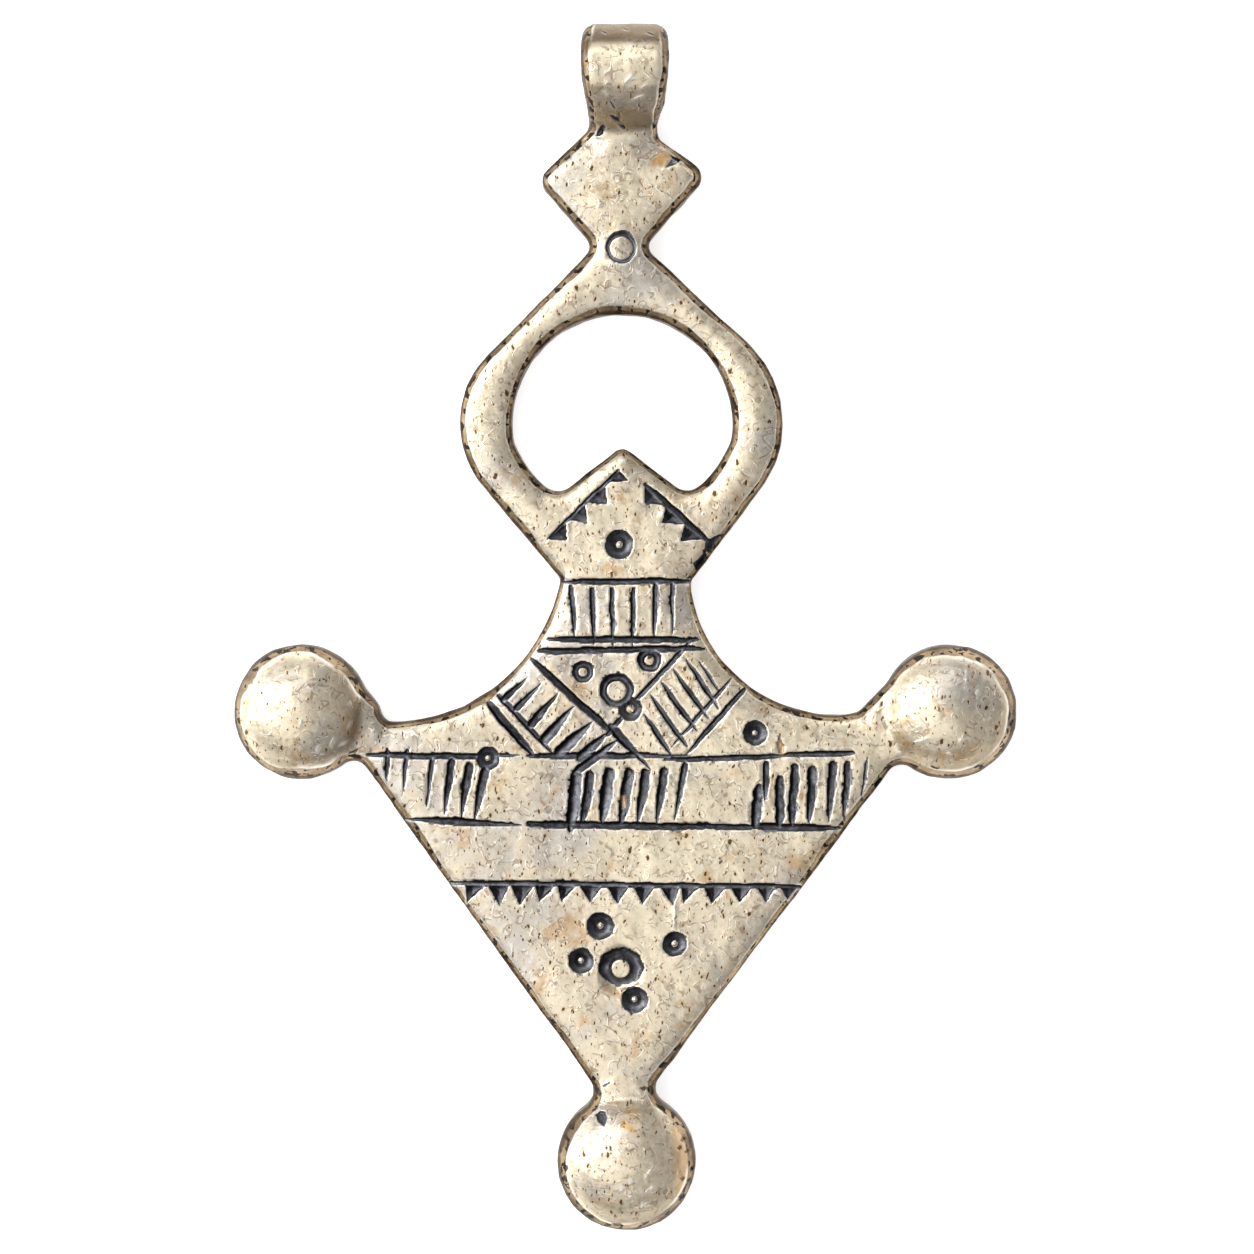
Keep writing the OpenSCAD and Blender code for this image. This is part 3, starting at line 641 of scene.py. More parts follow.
    def punch_tooth(self, out: Pressing, points: np.ndarray, datum: Datum, mark: Tooth, index: int) -> None:
        """Punches one tooth, deep at its base and shallow at its tip.

        Args:
            out, points, datum: as for strike; index is not used.
            mark: the tooth.
        """
        corners = ((mark.ax, mark.ay), (mark.bx, mark.by), (mark.tx, mark.ty))
        a, b, tip = (datum.place(x, y) for x, y in corners)
        middle = (a + b + tip) / 3
        at = np.flatnonzero(np.hypot(*(points - middle).T) < self.tooth_reach)
        p = points[at]
        inner = self.depth_inside(p, [a, b, tip])
        base = (b - a) / np.hypot(*(b - a))
        height = abs(float((tip - a) @ np.array([-base[1], base[0]])))
        share = np.abs((p - tip) @ np.array([-base[1], base[0]])) / height
        fold = np.abs((p - middle) @ base) * 0.25
        slope = self.tooth_depth * np.clip(0.25 + share, 0, 1) - fold
        depth = np.clip(np.minimum(inner * self.tooth_wall, slope), 0, None)
        groove = smoothstep(-0.02, 0.05, inner)
        # Painted sheen: the black of one half of the tooth is lighter, as a facet turned to the light
        tone = np.where((p - middle) @ base > 0.02, 0.50, 0.20) * np.clip(1.1 - 0.4 * share, 0, 1)
        out.add(at, depth, groove, self.burr(-inner, 0.6), -inner, tone)

    def depth_inside(self, points: np.ndarray, corners: Sequence[np.ndarray]) -> np.ndarray:
        """How far each place lies inside an outline with slightly ragged sides.

        Args:
            points: (n, 2) places in millimetres.
            corners: the outline's corners, in order and without a hollow.

        Returns:
            The distance to the nearest side, below 0 outside.
        """
        wobble = [self.ragged(points[:, 0], points[:, 1]), self.ragged(points[:, 1], points[:, 0])]
        points = points + self.side_ragged * np.stack(wobble, axis=1)
        middle = np.mean(corners, axis=0)
        inner = np.full(len(points), FAR)
        for start, end in zip(corners, [*corners[1:], corners[0]]):
            along = (end - start) / np.hypot(*(end - start))
            n = np.array([-along[1], along[0]])
            n = n * math.copysign(1.0, float((middle - start) @ n))
            inner = np.minimum(inner, (points - start) @ n)
        return inner

    def cut_chip_or_shadow(self, out: Pressing, points: np.ndarray, datum: Datum, mark: ChipOrShadow, index: int) -> None:
        """Breaks out one flaw or a dark patch painted as shadow, or only stains it.

        Args:
            out, points, datum: as for strike; index is not used.
            mark: the flaw, or the patch painted as shadow.
        """
        corners = [datum.place(x, y) for x, y in zip(mark.corners[::2], mark.corners[1::2])]
        middle = np.mean(corners, axis=0)
        at = np.flatnonzero(np.hypot(*(points - middle).T) < self.chip_reach)
        inner = self.depth_inside(points[at], corners)
        deep = datum.length(mark.depth)
        depth = np.clip(np.minimum(inner * self.chip_wall, deep), 0, None) if deep > 0 else np.zeros(len(at))
        inside = smoothstep(-0.03, 0.05, inner)
        out.stain[at] = np.maximum(out.stain[at], mark.stain * smoothstep(-0.10, 0.12, inner))
        edge = -inner if deep > 0 else np.full(len(at), FAR)
        # Painted highlight on the lip of a chip whose black is light
        burr = self.burr(edge, 0.4) * (mark.tone > 0.4)
        out.add(at, depth, mark.dark * inside, burr, edge, mark.tone)

    def press(self, points: np.ndarray) -> Pressing:
        """Strikes every mark.

        Args:
            points: (n, 2) places in millimetres.

        Returns:
            What the marks do to them.
        """
        out = Pressing.none(len(points))
        tools = (self.strike, self.punch_ring, self.punch_tooth, self.cut_chip_or_shadow)
        tables = zip(tools, (STROKES, RINGS, TEETH, CHIPS_AND_SHADOWS))
        blows = [(tool, datum, mark) for tool, marks in tables for datum in marks for mark in marks[datum]]
        for index, (tool, datum, mark) in enumerate(blows, 1):
            tool(out, points, datum, mark, index)
        out.burr *= 1 - out.groove
        return out


# ----- finishes ---------------------------------------------------------------------------------


def linear(code: str) -> tuple[float, float, float, float]:
    """The linear colour of an sRGB hex value.

    Args:
        code: the value, such as #D8CDB8.

    Returns:
        Red, green, blue and an alpha of 1.
    """
    shares = [int(code[i : i + 2], 16) / 255 for i in (1, 3, 5)]
    red, green, blue = (s / 12.92 if s <= 0.04045 else ((s + 0.055) / 1.055) ** 2.4 for s in shares)
    return (red, green, blue, 1.0)


def per(size_mm: float) -> float:
    """The texture scale, per metre, whose features are size_mm across."""
    return 1.0 / (size_mm * MM)


def add_node(tree: bpy.types.NodeTree, kind: str, inputs: dict | None = None, **settings) -> bpy.types.Node:
    """Adds a node with its settings and links.

    Args:
        tree: the material's node tree.
        kind: the node's type name.
        inputs: for each input, by name or number, a value or the socket that feeds it.
        settings: the node's own properties.

    Returns:
        The new node.
    """
    node = tree.nodes.new(kind)
    for name, value in settings.items():
        setattr(node, name, value)
    for name, value in (inputs or {}).items():
        if isinstance(value, bpy.types.NodeSocket):
            tree.links.new(value, node.inputs[name])
        else:
            node.inputs[name].default_value = value
    return node


RANGE = ("Value", "From Min", "From Max", "To Min", "To Max")


class Kind(Enum):
    """What a row of a recipe adds: the node's type, the inputs that the row fills in their order, the
    outputs that it passes on, and the node's settings."""

    NOISE = ("ShaderNodeTexNoise", ("Vector", "Scale", "Detail", "Roughness"), ("Fac",), {})
    CELLS = ("ShaderNodeTexVoronoi", ("Vector", "Scale"), ("Color", "Distance"), {"voronoi_dimensions": "2D"})
    MOVED = ("ShaderNodeMapping", ("Vector", "Location", "Rotation", "Scale"), (0,), {})
    RED = ("ShaderNodeSeparateColor", ("Color",), (0,), {})
    BAND = ("ShaderNodeMapRange", RANGE, (0,), {"interpolation_type": "SMOOTHSTEP"})
    SPAN = ("ShaderNodeMapRange", RANGE, (0,), {"interpolation_type": "LINEAR"})
    TIMES = ("ShaderNodeMath", (0, 1), (0,), {"operation": "MULTIPLY"})
    PLUS = ("ShaderNodeMath", (0, 1), (0,), {"operation": "ADD"})
    LESS = ("ShaderNodeMath", (0, 1), (0,), {"operation": "SUBTRACT"})
    MOST = ("ShaderNodeMath", (0, 1), (0,), {"operation": "MAXIMUM"})
    TIMES_PLUS = ("ShaderNodeMath", (0, 1, 2), (0,), {"operation": "MULTIPLY_ADD"})
    FRACTION = ("ShaderNodeMath", (0,), (0,), {"operation": "FRACT"})
    SCALED = ("ShaderNodeVectorMath", (0, "Scale"), (0,), {"operation": "SCALE"})
    JOINED = ("ShaderNodeVectorMath", (0, 1), (0,), {"operation": "ADD"})
    COAT = ("ShaderNodeMix", (0, 6, 7), (2,), {"data_type": "RGBA"})


(
    NOISE, CELLS, MOVED, RED, BAND, SPAN, TIMES, PLUS,
    LESS, MOST, TIMES_PLUS, FRACTION, SCALED, JOINED, COAT,
) = Kind


def follow(tree: bpy.types.NodeTree, sockets: dict[str, bpy.types.NodeSocket], recipe: Sequence[Row]) -> None:
    """Adds the nodes of a recipe in order.

    Args:
        tree: the material's node tree.
        sockets: the outputs that a row may name. Each row adds its own, or replaces one.
        recipe: rows of a name, or two with a space between, a Kind and a value for each input: a
            number, a hex colour or the name of an output. Last inputs that it leaves out keep the
            node's default, which for a BAND or SPAN is to go from 0 to 1.
    """
    for name, kind, *values in recipe:
        node_type, slots, outputs, settings = kind.value
        filled = [linear(v) if str(v).startswith("#") else sockets.get(v, v) for v in values]
        node = add_node(tree, node_type, dict(zip(slots, filled)), **settings)
        sockets.update(zip(name.split(), (node.outputs[output] for output in outputs)))


@dataclass(frozen=True)
class AgedSilver:
    """Cast silver, hammered, worn by hand and never polished clean.

    The open face is a warm, soft-lit metal with cooler grey patches and ochre stains. It is full of
    tiny brown pits and short curved scratches, its sloping edge is brown with old dirt, and sulphide
    has blackened whatever was struck into it. Some light and shade are painted into its colour too:
    highlights on burrs, raised lines, the scratches and the edge's inner line, a sheen in the black,
    and shade on the scratches, on slopes turned from the light and at the foot knob's throats.
    """

    name: str = "aged_cast_silver"
    warm: str = "#E9DCC3"
    cream: str = "#F3E6CB"
    cool: str = "#D6CFC3"
    ochre: str = "#D3A66A"
    brown: str = "#8E6A45"
    pit: str = "#3B291C"
    light: str = "#FFFAEF"
    shade: str = "#BFAF96"
    rim: str = "#B39C7B"
    rim_dark: str = "#7A6650"
    rim_outer: str = "#4A3D32"
    rim_spot: str = "#1E1712"
    # Painted shade, laid on slopes and on the roll where they turn away from the light
    steep: str = "#85745E"
    groove: str = "#242427"
    groove_sheen: str = "#7E7F85"
    patch_mm: float = 5.5
    stain_mm: float = 2.2
    hammer_mm: float = 2.6
    mottle_mm: float = 0.42
    # The real grain is some hundredths of a millimetre, and is drawn as coarse as it needs to show
    grain_mm: float = 0.11
    hair_mm: float = 1.5
    hair_break_mm: float = 0.62
    pit_bend_mm: float = 0.22
    rim_w_mm: float = 0.33
    rim_wander_mm: float = 0.34
    roughness: float = 0.40
    roughness_swing: float = 0.08
    # Columns: name of an attribute or pattern, and how high it stands in millimetres where it is full
    relief: tuple[tuple[str, float], ...] = (
        ("patches", 0.25), ("mottle", 0.016), ("grain", 0.005), ("ridge", 0.011), ("valley", -0.010),
        ("pits", -0.02), ("slope", -0.08),
    )
    hammer_height: float = 0.16

    def patterns(self) -> list[Row]:
        """Lists the soft patterns that the rest is made from.

        Returns:
            Rows for follow.
        """
        # Columns: name, size of its features in millimetres, detail, roughness
        sizes = (
            ("patches", self.patch_mm, 4.0, 0.55),
            ("stains", self.stain_mm, 4.0, 0.65),
            ("mottle", self.mottle_mm, 3.0, 0.6),
            ("grain", self.grain_mm, 2.0, 0.6),
            ("hammer", self.hammer_mm, 2.0, 0.5),
            ("bent", 0.35, 1.0, 0.5),
            ("uneven", 1.6, 2.0, 0.6),
            ("rubbed", 2.6, 1.0, 0.5),
            ("spots", 0.55, 2.0, 0.5),
            ("sheen", 0.6, 3.0, 0.6),
        )
        return [(name, NOISE, "where", per(size), *rest) for name, size, *rest in sizes]

    def scratches(self) -> list[Row]:
        """Lists short curved scratches, with a painted highlight on one side and painted shade, brown, on the
        other, as of a raised line. They are contour lines of three patterns, broken by a finer one.

        Returns:
            Rows for follow.
        """
        rows: list[Row] = []
        # Columns: size as a share of hair_mm, contour lines
        for turn, (share, lines) in enumerate(((1.0, 4.2), (0.62, 3.4), (0.8, 3.6))):
            rows += [
                ("aside", MOVED, "where", (turn * 0.31, 0.17, 0.05)),
                ("contour", NOISE, "aside", per(self.hair_mm * share), 1.0, 0.4),
                ("steps", TIMES, "contour", lines),
                ("saw", FRACTION, "steps"),
                ("breaks", NOISE, "aside", per(self.hair_break_mm), 1.0, 0.5),
                ("broken", BAND, "breaks", 0.50, 0.60),
                # Painted highlight on one side of each line and painted shade, brown, on the other
                ("bright", BAND, "saw", 0.15, 0.04),
                ("dull", BAND, "saw", 0.82, 0.96),
                ("bright", TIMES, "bright", "broken"),
                ("dull", TIMES, "dull", "broken"),
                ("ridge", MOST, "ridge" if turn else 0.0, "bright"),
                ("valley", MOST, "valley" if turn else 0.0, "dull"),
            ]
        return rows

    def pitting(self) -> list[Row]:
        """Lists small pits, longer than wide. In each of three layers a share of the cells holds one.

        Returns:
            Rows for follow.
        """
        rows: list[Row] = [
            ("bend", SCALED, "bent", self.pit_bend_mm * MM),
            ("dense", BAND, "stains", 0.30, 0.50),
        ]
        # Columns: cell in millimetres, share of cells left empty, turn in radians
        layers = ((0.90, 0.60, 0.9), (0.40, 0.42, -0.7), (0.50, 0.50, 0.2))
        for layer, (cell, empty, turn) in enumerate(layers):
            rows += [
                ("laid", MOVED, "where", (0.0, 0.0, 0.0), (0.0, 0.0, turn), (1.0, 0.55, 1.0)),
                ("laid", JOINED, "laid", "bend"),
                ("lot off", CELLS, "laid", per(cell)),
                ("lot", RED, "lot"),
                ("size", SPAN, "lot", empty, 1.0, 0.01, 0.125),
                ("size", TIMES, "size", "dense"),
                ("inner", LESS, "size", "off"),
                ("hole", BAND, "inner", -0.015, 0.02),
                ("around", BAND, "inner", -0.16, 0.0),
                ("pits", MOST, "pits" if layer else 0.0, "hole"),
                ("halo", MOST, "halo" if layer else 0.0, "around"),
            ]
        return rows

    def worn_edge(self) -> list[Row]:
        """Lists the sloping edge: dirty brown up to a bright line painted as a highlight and broken in
        places, with dark spots.

        Returns:
            Rows for follow.
        """
        width = self.rim_w_mm
        return [
            ("gap", TIMES_PLUS, "uneven", -self.rim_wander_mm, "rim"),
            ("slope", BAND, "gap", width + 0.03, width - 0.06),
            # Painted highlight: a pale line along the inner side of the edge, broken up at random
            ("worn", BAND, "gap", width - 0.03, width + 0.04),
            ("beyond", BAND, "gap", width + 0.24, width + 0.05),
            ("worn", TIMES, "worn", "beyond"),
            ("rubbed", BAND, "rubbed", 0.40, 0.60, 0.0, 0.65),
            ("worn", TIMES, "worn", "rubbed"),
            ("spots", BAND, "spots", 0.545, 0.58, 0.0, 0.95),
            ("outermost", BAND, "gap", 0.06, -0.06, 0.0, 0.85),
            ("dirt", SPAN, "stains", 0.38, 0.56),
            ("dirt", COAT, "dirt", self.rim_dark, self.rim),
            ("dirt", COAT, "spots", "dirt", self.rim_spot),
            ("dirt", COAT, "outermost", "dirt", self.rim_outer),
        ]

    def sulphide(self) -> list[Row]:
        """Lists the black in the struck marks, greyer where it catches the light.

        Returns:
            Rows for follow.
        """
        return [
            ("sheen", TIMES_PLUS, "sheen", 0.9, -0.45),
            ("sheen", PLUS, "sheen", "tone"),
            ("black", SPAN, "sheen", 0.10, 0.95),
            ("black", COAT, "black", self.groove, self.groove_sheen),
            ("clear", TIMES_PLUS, "stain", -0.9, 1.0),
            ("dark", BAND, "groove", 0.25, 0.65),
            ("dark", TIMES, "dark", "clear"),
        ]

    def face(self) -> list[Row]:
        """Lists the colour of the whole piece, laid on coat by coat.

        Returns:
            Rows for follow.
        """
        rows: list[Row] = [
            ("stained", BAND, "stains", 0.55, 0.68, 0.0, 0.60),
            ("lifted", BAND, "mottle", 0.54, 0.70, 0.0, 0.30),
            ("sunk", BAND, "mottle", 0.47, 0.32, 0.0, 0.35),
            ("gritty", BAND, "grain", 0.48, 0.28, 0.0, 0.30),
            ("warmed", SPAN, "patches", 0.40, 0.50),
            ("creamed", SPAN, "patches", 0.50, 0.60),
            ("face", COAT, "warmed", self.cool, self.warm),
        ]
        # Painted light among these coats: the pale and the brown side of each scratch, the bright line on the
        # edge, the bright burr and the shade on turned-away slopes
        # Columns: where it lies, how thickly, colour
        coats = (
            ("creamed", 1.0, self.cream), ("stained", 1.0, self.ochre), ("lifted", 1.0, self.light),
            ("sunk", 1.0, self.shade), ("gritty", 1.0, self.shade), ("ridge", 0.55, self.light),
            ("valley", 0.50, self.brown), ("halo", 0.30, self.ochre), ("pits", 0.90, self.pit),
            ("steep", 0.75, self.steep), ("stain", 0.85, self.ochre), ("worn", 1.0, self.light),
            ("slope", 1.0, "dirt"), ("burr", 0.60, self.light), ("dark", 1.0, "black"),
        )
        for mask, share, colour in coats:
            rows += [("share", TIMES, mask, share), ("face", COAT, "share", "face", colour)]
        return rows

    def feel(self) -> list[Row]:
        """Lists the roughness and the height of the surface.

        Returns:
            Rows for follow.
        """
        low, high = self.roughness - self.roughness_swing, self.roughness + self.roughness_swing
        heights = [("height", TIMES_PLUS, layer, high_mm, "height") for layer, high_mm in self.relief]
        return [
            ("rough", SPAN, "mottle", 0.3, 0.7, low, high),
            ("height", TIMES, "hammer", self.hammer_height),
            *heights,
        ]

    def make(self) -> bpy.types.Material:
        """Builds the material.

        Returns:
            The material.
        """
        material = bpy.data.materials.new(self.name)
        material.use_nodes = True
        tree = material.node_tree
        tree.nodes.clear()
        sockets = {"where": add_node(tree, "ShaderNodeTexCoord").outputs["Object"]}
        for name in ATTRIBUTES:
            sockets[name] = add_node(tree, "ShaderNodeAttribute", attribute_name=name).outputs["Fac"]
        recipes = (
            self.patterns, self.scratches, self.pitting, self.worn_edge,
            self.sulphide, self.face, self.feel,
        )
        for rows in recipes:
            follow(tree, sockets, rows())
        bump = {"Strength": 1.0, "Distance": MM, "Height": sockets["height"]}
        relief = add_node(tree, "ShaderNodeBump", bump).outputs[0]
        looks = {"Base Color": sockets["face"], "Roughness": sockets["rough"], "Metallic": 1.0}
        shader = add_node(tree, "ShaderNodeBsdfPrincipled", looks | {"Normal": relief})
        add_node(tree, "ShaderNodeOutputMaterial", {"Surface": shader.outputs[0]})
        return material


@dataclass(frozen=True)
class MattePaper:
    """Uncoated white paper on a light table: it scatters its light, shows no gloss and glows faintly."""

    name: str = "matte_paper"
    colour: str = "#FBFBFA"
    glow: float = 0.70

    def make(self) -> bpy.types.Material:
        """Builds the material.

        Returns:
            The material.
        """
        material = bpy.data.materials.new(self.name)
        material.use_nodes = True
        looks = {
            "Base Color": linear(self.colour), "Roughness": 1.0, "Specular IOR Level": 0.0,
            "Emission Color": linear(self.colour), "Emission Strength": self.glow,
        }
        for name, value in looks.items():
            material.node_tree.nodes["Principled BSDF"].inputs[name].default_value = value
        return material


# ----- the casting ------------------------------------------------------------------------------


def add_object(name: str, data: bpy.types.ID) -> bpy.types.Object:
    """Puts an object into the scene, at the origin.

    Args:
        name: the object's name.
        data: its mesh, camera or light.

    Returns:
        The new object.
    """
    made = bpy.data.objects.new(name, data)
    bpy.context.scene.collection.objects.link(made)
    return made


@dataclass
class Casting:
    """The whole pendant as one cast body, from its plain blank to its struck and worn front."""

    slice_z: float = 1.0
    bail_cut_y: float = 31.6
    voxel: float = 0.24
    fine_cuts: int = 2
    dome_z: float = 1.5
    dome_inset: float = 0.06
    dome_root: float = 0.4
    smoothing: int = 3
    bail_smoothing: int = 30
    bail_foot: tuple[float, float] = (29.8, 33.2)
    edge_step: float = 0.06
    roll_edge: float = 0.34
    # Columns: cell in millimetres, seed, height in millimetres
    swells: tuple[tuple[float, int, float], ...] = ((5.0, 11, 0.05), (1.6, 12, 0.022), (0.7, 13, 0.012))
    pillow_drop: float = 0.16
    pillow_w: float = 2.0
    back_rise: float = 0.08
    back_share: float = 0.5
    side_inset: float = 0.05
    side_z: float = 0.75
    # Ranges of tilt and of height in millimetres over which the front begins
    front_tilt: tuple[float, float] = (0.1, 0.5)
    front_z: tuple[float, float] = (1.2, 1.8)
    # Knobs stay clear of the fall of the plain faces by this share of their diameter
    knob_clear: float = 0.6
    rim_reach: float = 2.0
    outline: np.ndarray = field(default_factory=lambda: np.zeros((0, 2)))

    def plate(self) -> bmesh.types.BMesh:
        """The plain cast plate: the CAD solid below its engraving, mirrored to make the upper face.

        Returns:
            A closed mesh in millimetres, without the bail's roll.
        """
        bm = bmesh.new()
        bm.from_mesh(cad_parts[NODE].data)
        bmesh.ops.scale(bm, vec=(1 / MM, 1 / MM, 1 / MM), verts=bm.verts)
        bmesh.ops.remove_doubles(bm, verts=bm.verts, dist=TOUCH)
        for place, normal in (((0, 0, self.slice_z), (0, 0, 1)), ((0, self.bail_cut_y, 0), (0, 1, 0))):
            whole = bm.verts[:] + bm.edges[:] + bm.faces[:]
            bmesh.ops.bisect_plane(
                bm, geom=whole, dist=TOUCH / 10, plane_co=place, plane_no=normal, clear_outer=True
            )
        self.outline = self.sample(
            [e for e in bm.edges if e.is_boundary and min(v.co.z for v in e.verts) > self.slice_z - TOUCH]
        )
        upper = bmesh.ops.duplicate(bm, geom=bm.verts[:] + bm.edges[:] + bm.faces[:])["geom"]
        upper_verts = [g for g in upper if isinstance(g, bmesh.types.BMVert)]
        upper_faces = [g for g in upper if isinstance(g, bmesh.types.BMFace)]
        middle = Matrix.Translation((0, 0, -SIZES.plate / 2))
        bmesh.ops.scale(bm, vec=(1, 1, -1), verts=upper_verts, space=middle)
        bmesh.ops.reverse_faces(bm, faces=upper_faces)
        open_edges = [e for e in bm.edges if e.is_boundary]
        rim = [e for e in open_edges if all(abs(v.co.z - self.slice_z) < TOUCH for v in e.verts)]
        wall = bmesh.ops.extrude_edge_only(bm, edges=rim)["geom"]
        bmesh.ops.translate(
            bm, vec=(0, 0, SIZES.plate - 2 * self.slice_z),
            verts=[g for g in wall if isinstance(g, bmesh.types.BMVert)],
        )
        bmesh.ops.remove_doubles(bm, verts=bm.verts, dist=2 * TOUCH)
        bmesh.ops.holes_fill(bm, edges=[e for e in bm.edges if e.is_boundary], sides=0)
        bmesh.ops.recalc_face_normals(bm, faces=bm.faces)
        return bm

    def sample(self, edges: Sequence[bmesh.types.BMEdge]) -> np.ndarray:
        """Marks off the outline.

        Args:
            edges: its edges.

        Returns:
            Points every edge_step or less along it, as an (n, 2) array.
        """
        points: list[tuple[float, float]] = []
        for edge in edges:
            a, b = (v.co.to_2d() for v in edge.verts)
            steps = max(1, math.ceil((b - a).length / self.edge_step))
            points += [tuple(a.lerp(b, i / steps)) for i in range(steps)]
        return np.array(points)

    def add_dome(self, bm: bmesh.types.BMesh, centre: tuple[float, float], diameter: float) -> None:
        """Raises the round top of a knob.

        Args:
            bm: the mesh to add it to.
            centre: its middle, seen from the front.
            diameter: the knob's diameter.
        """
        radius = diameter / 2 - self.dome_inset
        place = Matrix.Translation((*centre, self.dome_z)) @ Matrix.Diagonal(
            (radius, radius, SIZES.knob_h - self.dome_z, 1.0)
        )
        dome = bmesh.ops.create_uvsphere(bm, u_segments=64, v_segments=32, radius=1.0, matrix=place)["verts"]
        for vert in dome:
            if vert.co.z < self.dome_z:
                vert.co.z = self.dome_z + (vert.co.z - self.dome_z) * self.dome_root

    def add_roll(self, bm: bmesh.types.BMesh) -> None:
        """Rolls the bail round its bore and tapers it towards the lozenge.

        Args:
            bm: the mesh to add it to.
        """
        outer, inner, half, edge = SIZES.bail_d / 2, SIZES.bail_bore / 2, SIZES.bail_w / 2, self.roll_edge
        centre = Vector((0, SIZES.bail_y, outer))
        # Columns: how far to the side, how far from the bore's axis
        section = (
            (-half, inner + edge / 2), (-half, outer - edge),
            (edge - half, outer), (half - edge, outer),
            (half, outer - edge), (half, inner + edge / 2),
            (half - edge / 2, inner), (edge / 2 - half, inner),
        )
        verts = [bm.verts.new((x, centre.y, centre.z + r)) for x, r in section]
        edges = [bm.edges.new((verts[i - 1], verts[i])) for i in range(len(verts))]
        before = set(bm.verts) - set(verts)
        bmesh.ops.spin(
            bm, geom=verts + edges, cent=centre, axis=(1, 0, 0), dvec=(0, 0, 0),
            angle=math.tau, steps=96, use_merge=True, use_duplicate=False,
        )
        for vert in set(bm.verts) - before:
            vert.co.x *= 2 * float(self.roll_side(vert.co.y, vert.co.x >= 0))

    def fuse(self) -> bpy.types.Mesh:
        """Fuses plate, domes and roll into one body.

        Returns:
            A closed mesh of even small faces, in millimetres.
        """
        bm = self.plate()
        for side in (-1, 1):
            self.add_dome(bm, (side * SIZES.knob_span / 2, SIZES.knob_y), SIZES.knob_d)
        self.add_dome(bm, SIZES.foot_c, SIZES.foot_d)
        self.add_roll(bm)
        bmesh.ops.recalc_face_normals(bm, faces=bm.faces)
        rough = bpy.data.meshes.new("rough_blank")
        bm.to_mesh(rough)
        bm.free()
        holder = add_object("rough_blank", rough)
        remesh = holder.modifiers.new("fuse", "REMESH")
        remesh.mode = "VOXEL"
        remesh.voxel_size = self.voxel
        fused = bpy.data.meshes.new_from_object(holder.evaluated_get(bpy.context.evaluated_depsgraph_get()))
        bpy.data.objects.remove(holder)
        bpy.data.meshes.remove(rough)
        return fused

    def refine(self, bm: bmesh.types.BMesh, graver: Graver) -> None:
        """Smooths the body and makes its faces small near the marks.

        Args:
            bm: the body, in millimetres.
            graver: the tools that will strike the marks.
        """
        level = {"factor": 0.5, "use_axis_y": True, "use_axis_z": True}
        for _ in range(self.smoothing):
            bmesh.ops.smooth_vert(bm, verts=bm.verts, use_axis_x=True, **level)
        for _ in range(self.bail_smoothing):
            low, high = self.bail_foot
            root = [v for v in bm.verts if low < v.co.y < high and v.co.z > SIZES.plate - 0.5]
            bmesh.ops.smooth_vert(bm, verts=root, use_axis_x=False, **level)
        points = np.array([v.co.to_2d() for v in bm.verts])
        near = graver.press(points).edge < graver.reach
        bm.verts.ensure_lookup_table()
        bm.normal_update()
        chosen = {
            v for v, is_near in zip(bm.verts, near) if is_near and v.normal.z > 0.3 and v.co.z > self.slice_z
        }
        edges = [e for e in bm.edges if e.verts[0] in chosen and e.verts[1] in chosen]
        bmesh.ops.subdivide_edges(bm, edges=edges, cuts=self.fine_cuts, use_grid_fill=True)
        bmesh.ops.triangulate(bm, faces=[f for f in bm.faces if len(f.verts) > 4])

    def rim_distance(self, points: np.ndarray) -> np.ndarray:
        """Measures to the outline.

        Args:
            points: (n, 2) places in millimetres.

        Returns:
            The distance from each to the outline.
        """
        tree = KDTree(len(self.outline))
        for i, (x, y) in enumerate(self.outline):
            tree.insert((x, y, 0.0), i)
        tree.balance()
        return np.array([tree.find((x, y, 0.0))[2] for x, y in points])

    @staticmethod
    def roll_side(y: np.ndarray | float, right: np.ndarray | bool) -> np.ndarray:
        """How far a side of the roll stands from its middle, as a share of bail_w.

        Args:
            y: where along the roll, in millimetres.
            right: whether the right side is asked for, or the left.

        Returns:
            The share for each y.
        """
        heights, *sides = np.array(BAIL_TAPER).T
        left_side, right_side = (np.interp(y - SIZES.bail_y, heights * SIZES.bail_d, side) for side in sides)
        return np.where(right, right_side, left_side)

    @staticmethod
    def read(items: bpy.types.bpy_prop_collection, name: str) -> np.ndarray:
        """An (n, 3) array of one property of a mesh's points."""
        flat = np.empty(len(items) * 3)
        items.foreach_get(name, flat)
        return flat.reshape(-1, 3)

    def wear(self, mesh: bpy.types.Mesh, graver: Graver) -> None:
        """Presses the marks into the front, and leaves the unevenness of casting and hammering.

        Args:
            mesh: the body, in millimetres.
            graver: the tools that strike the marks.
        """
        co, normals = self.read(mesh.vertices, "co"), self.read(mesh.vertex_normals, "vector")
        points = co[:, :2].copy()
        rim = self.rim_distance(points)
        marks = graver.press(points)
        tilt = normals[:, 2]
        front = smoothstep(*self.front_tilt, tilt) * smoothstep(*self.front_z, co[:, 2])
        back = smoothstep(*self.front_tilt, -tilt)
        sideways = smoothstep(*self.front_tilt[::-1], np.abs(tilt))
        x, y = points.T
        swell = sum(height * LatticeNoise(cell, seed)(x, y) for cell, seed, height in self.swells)
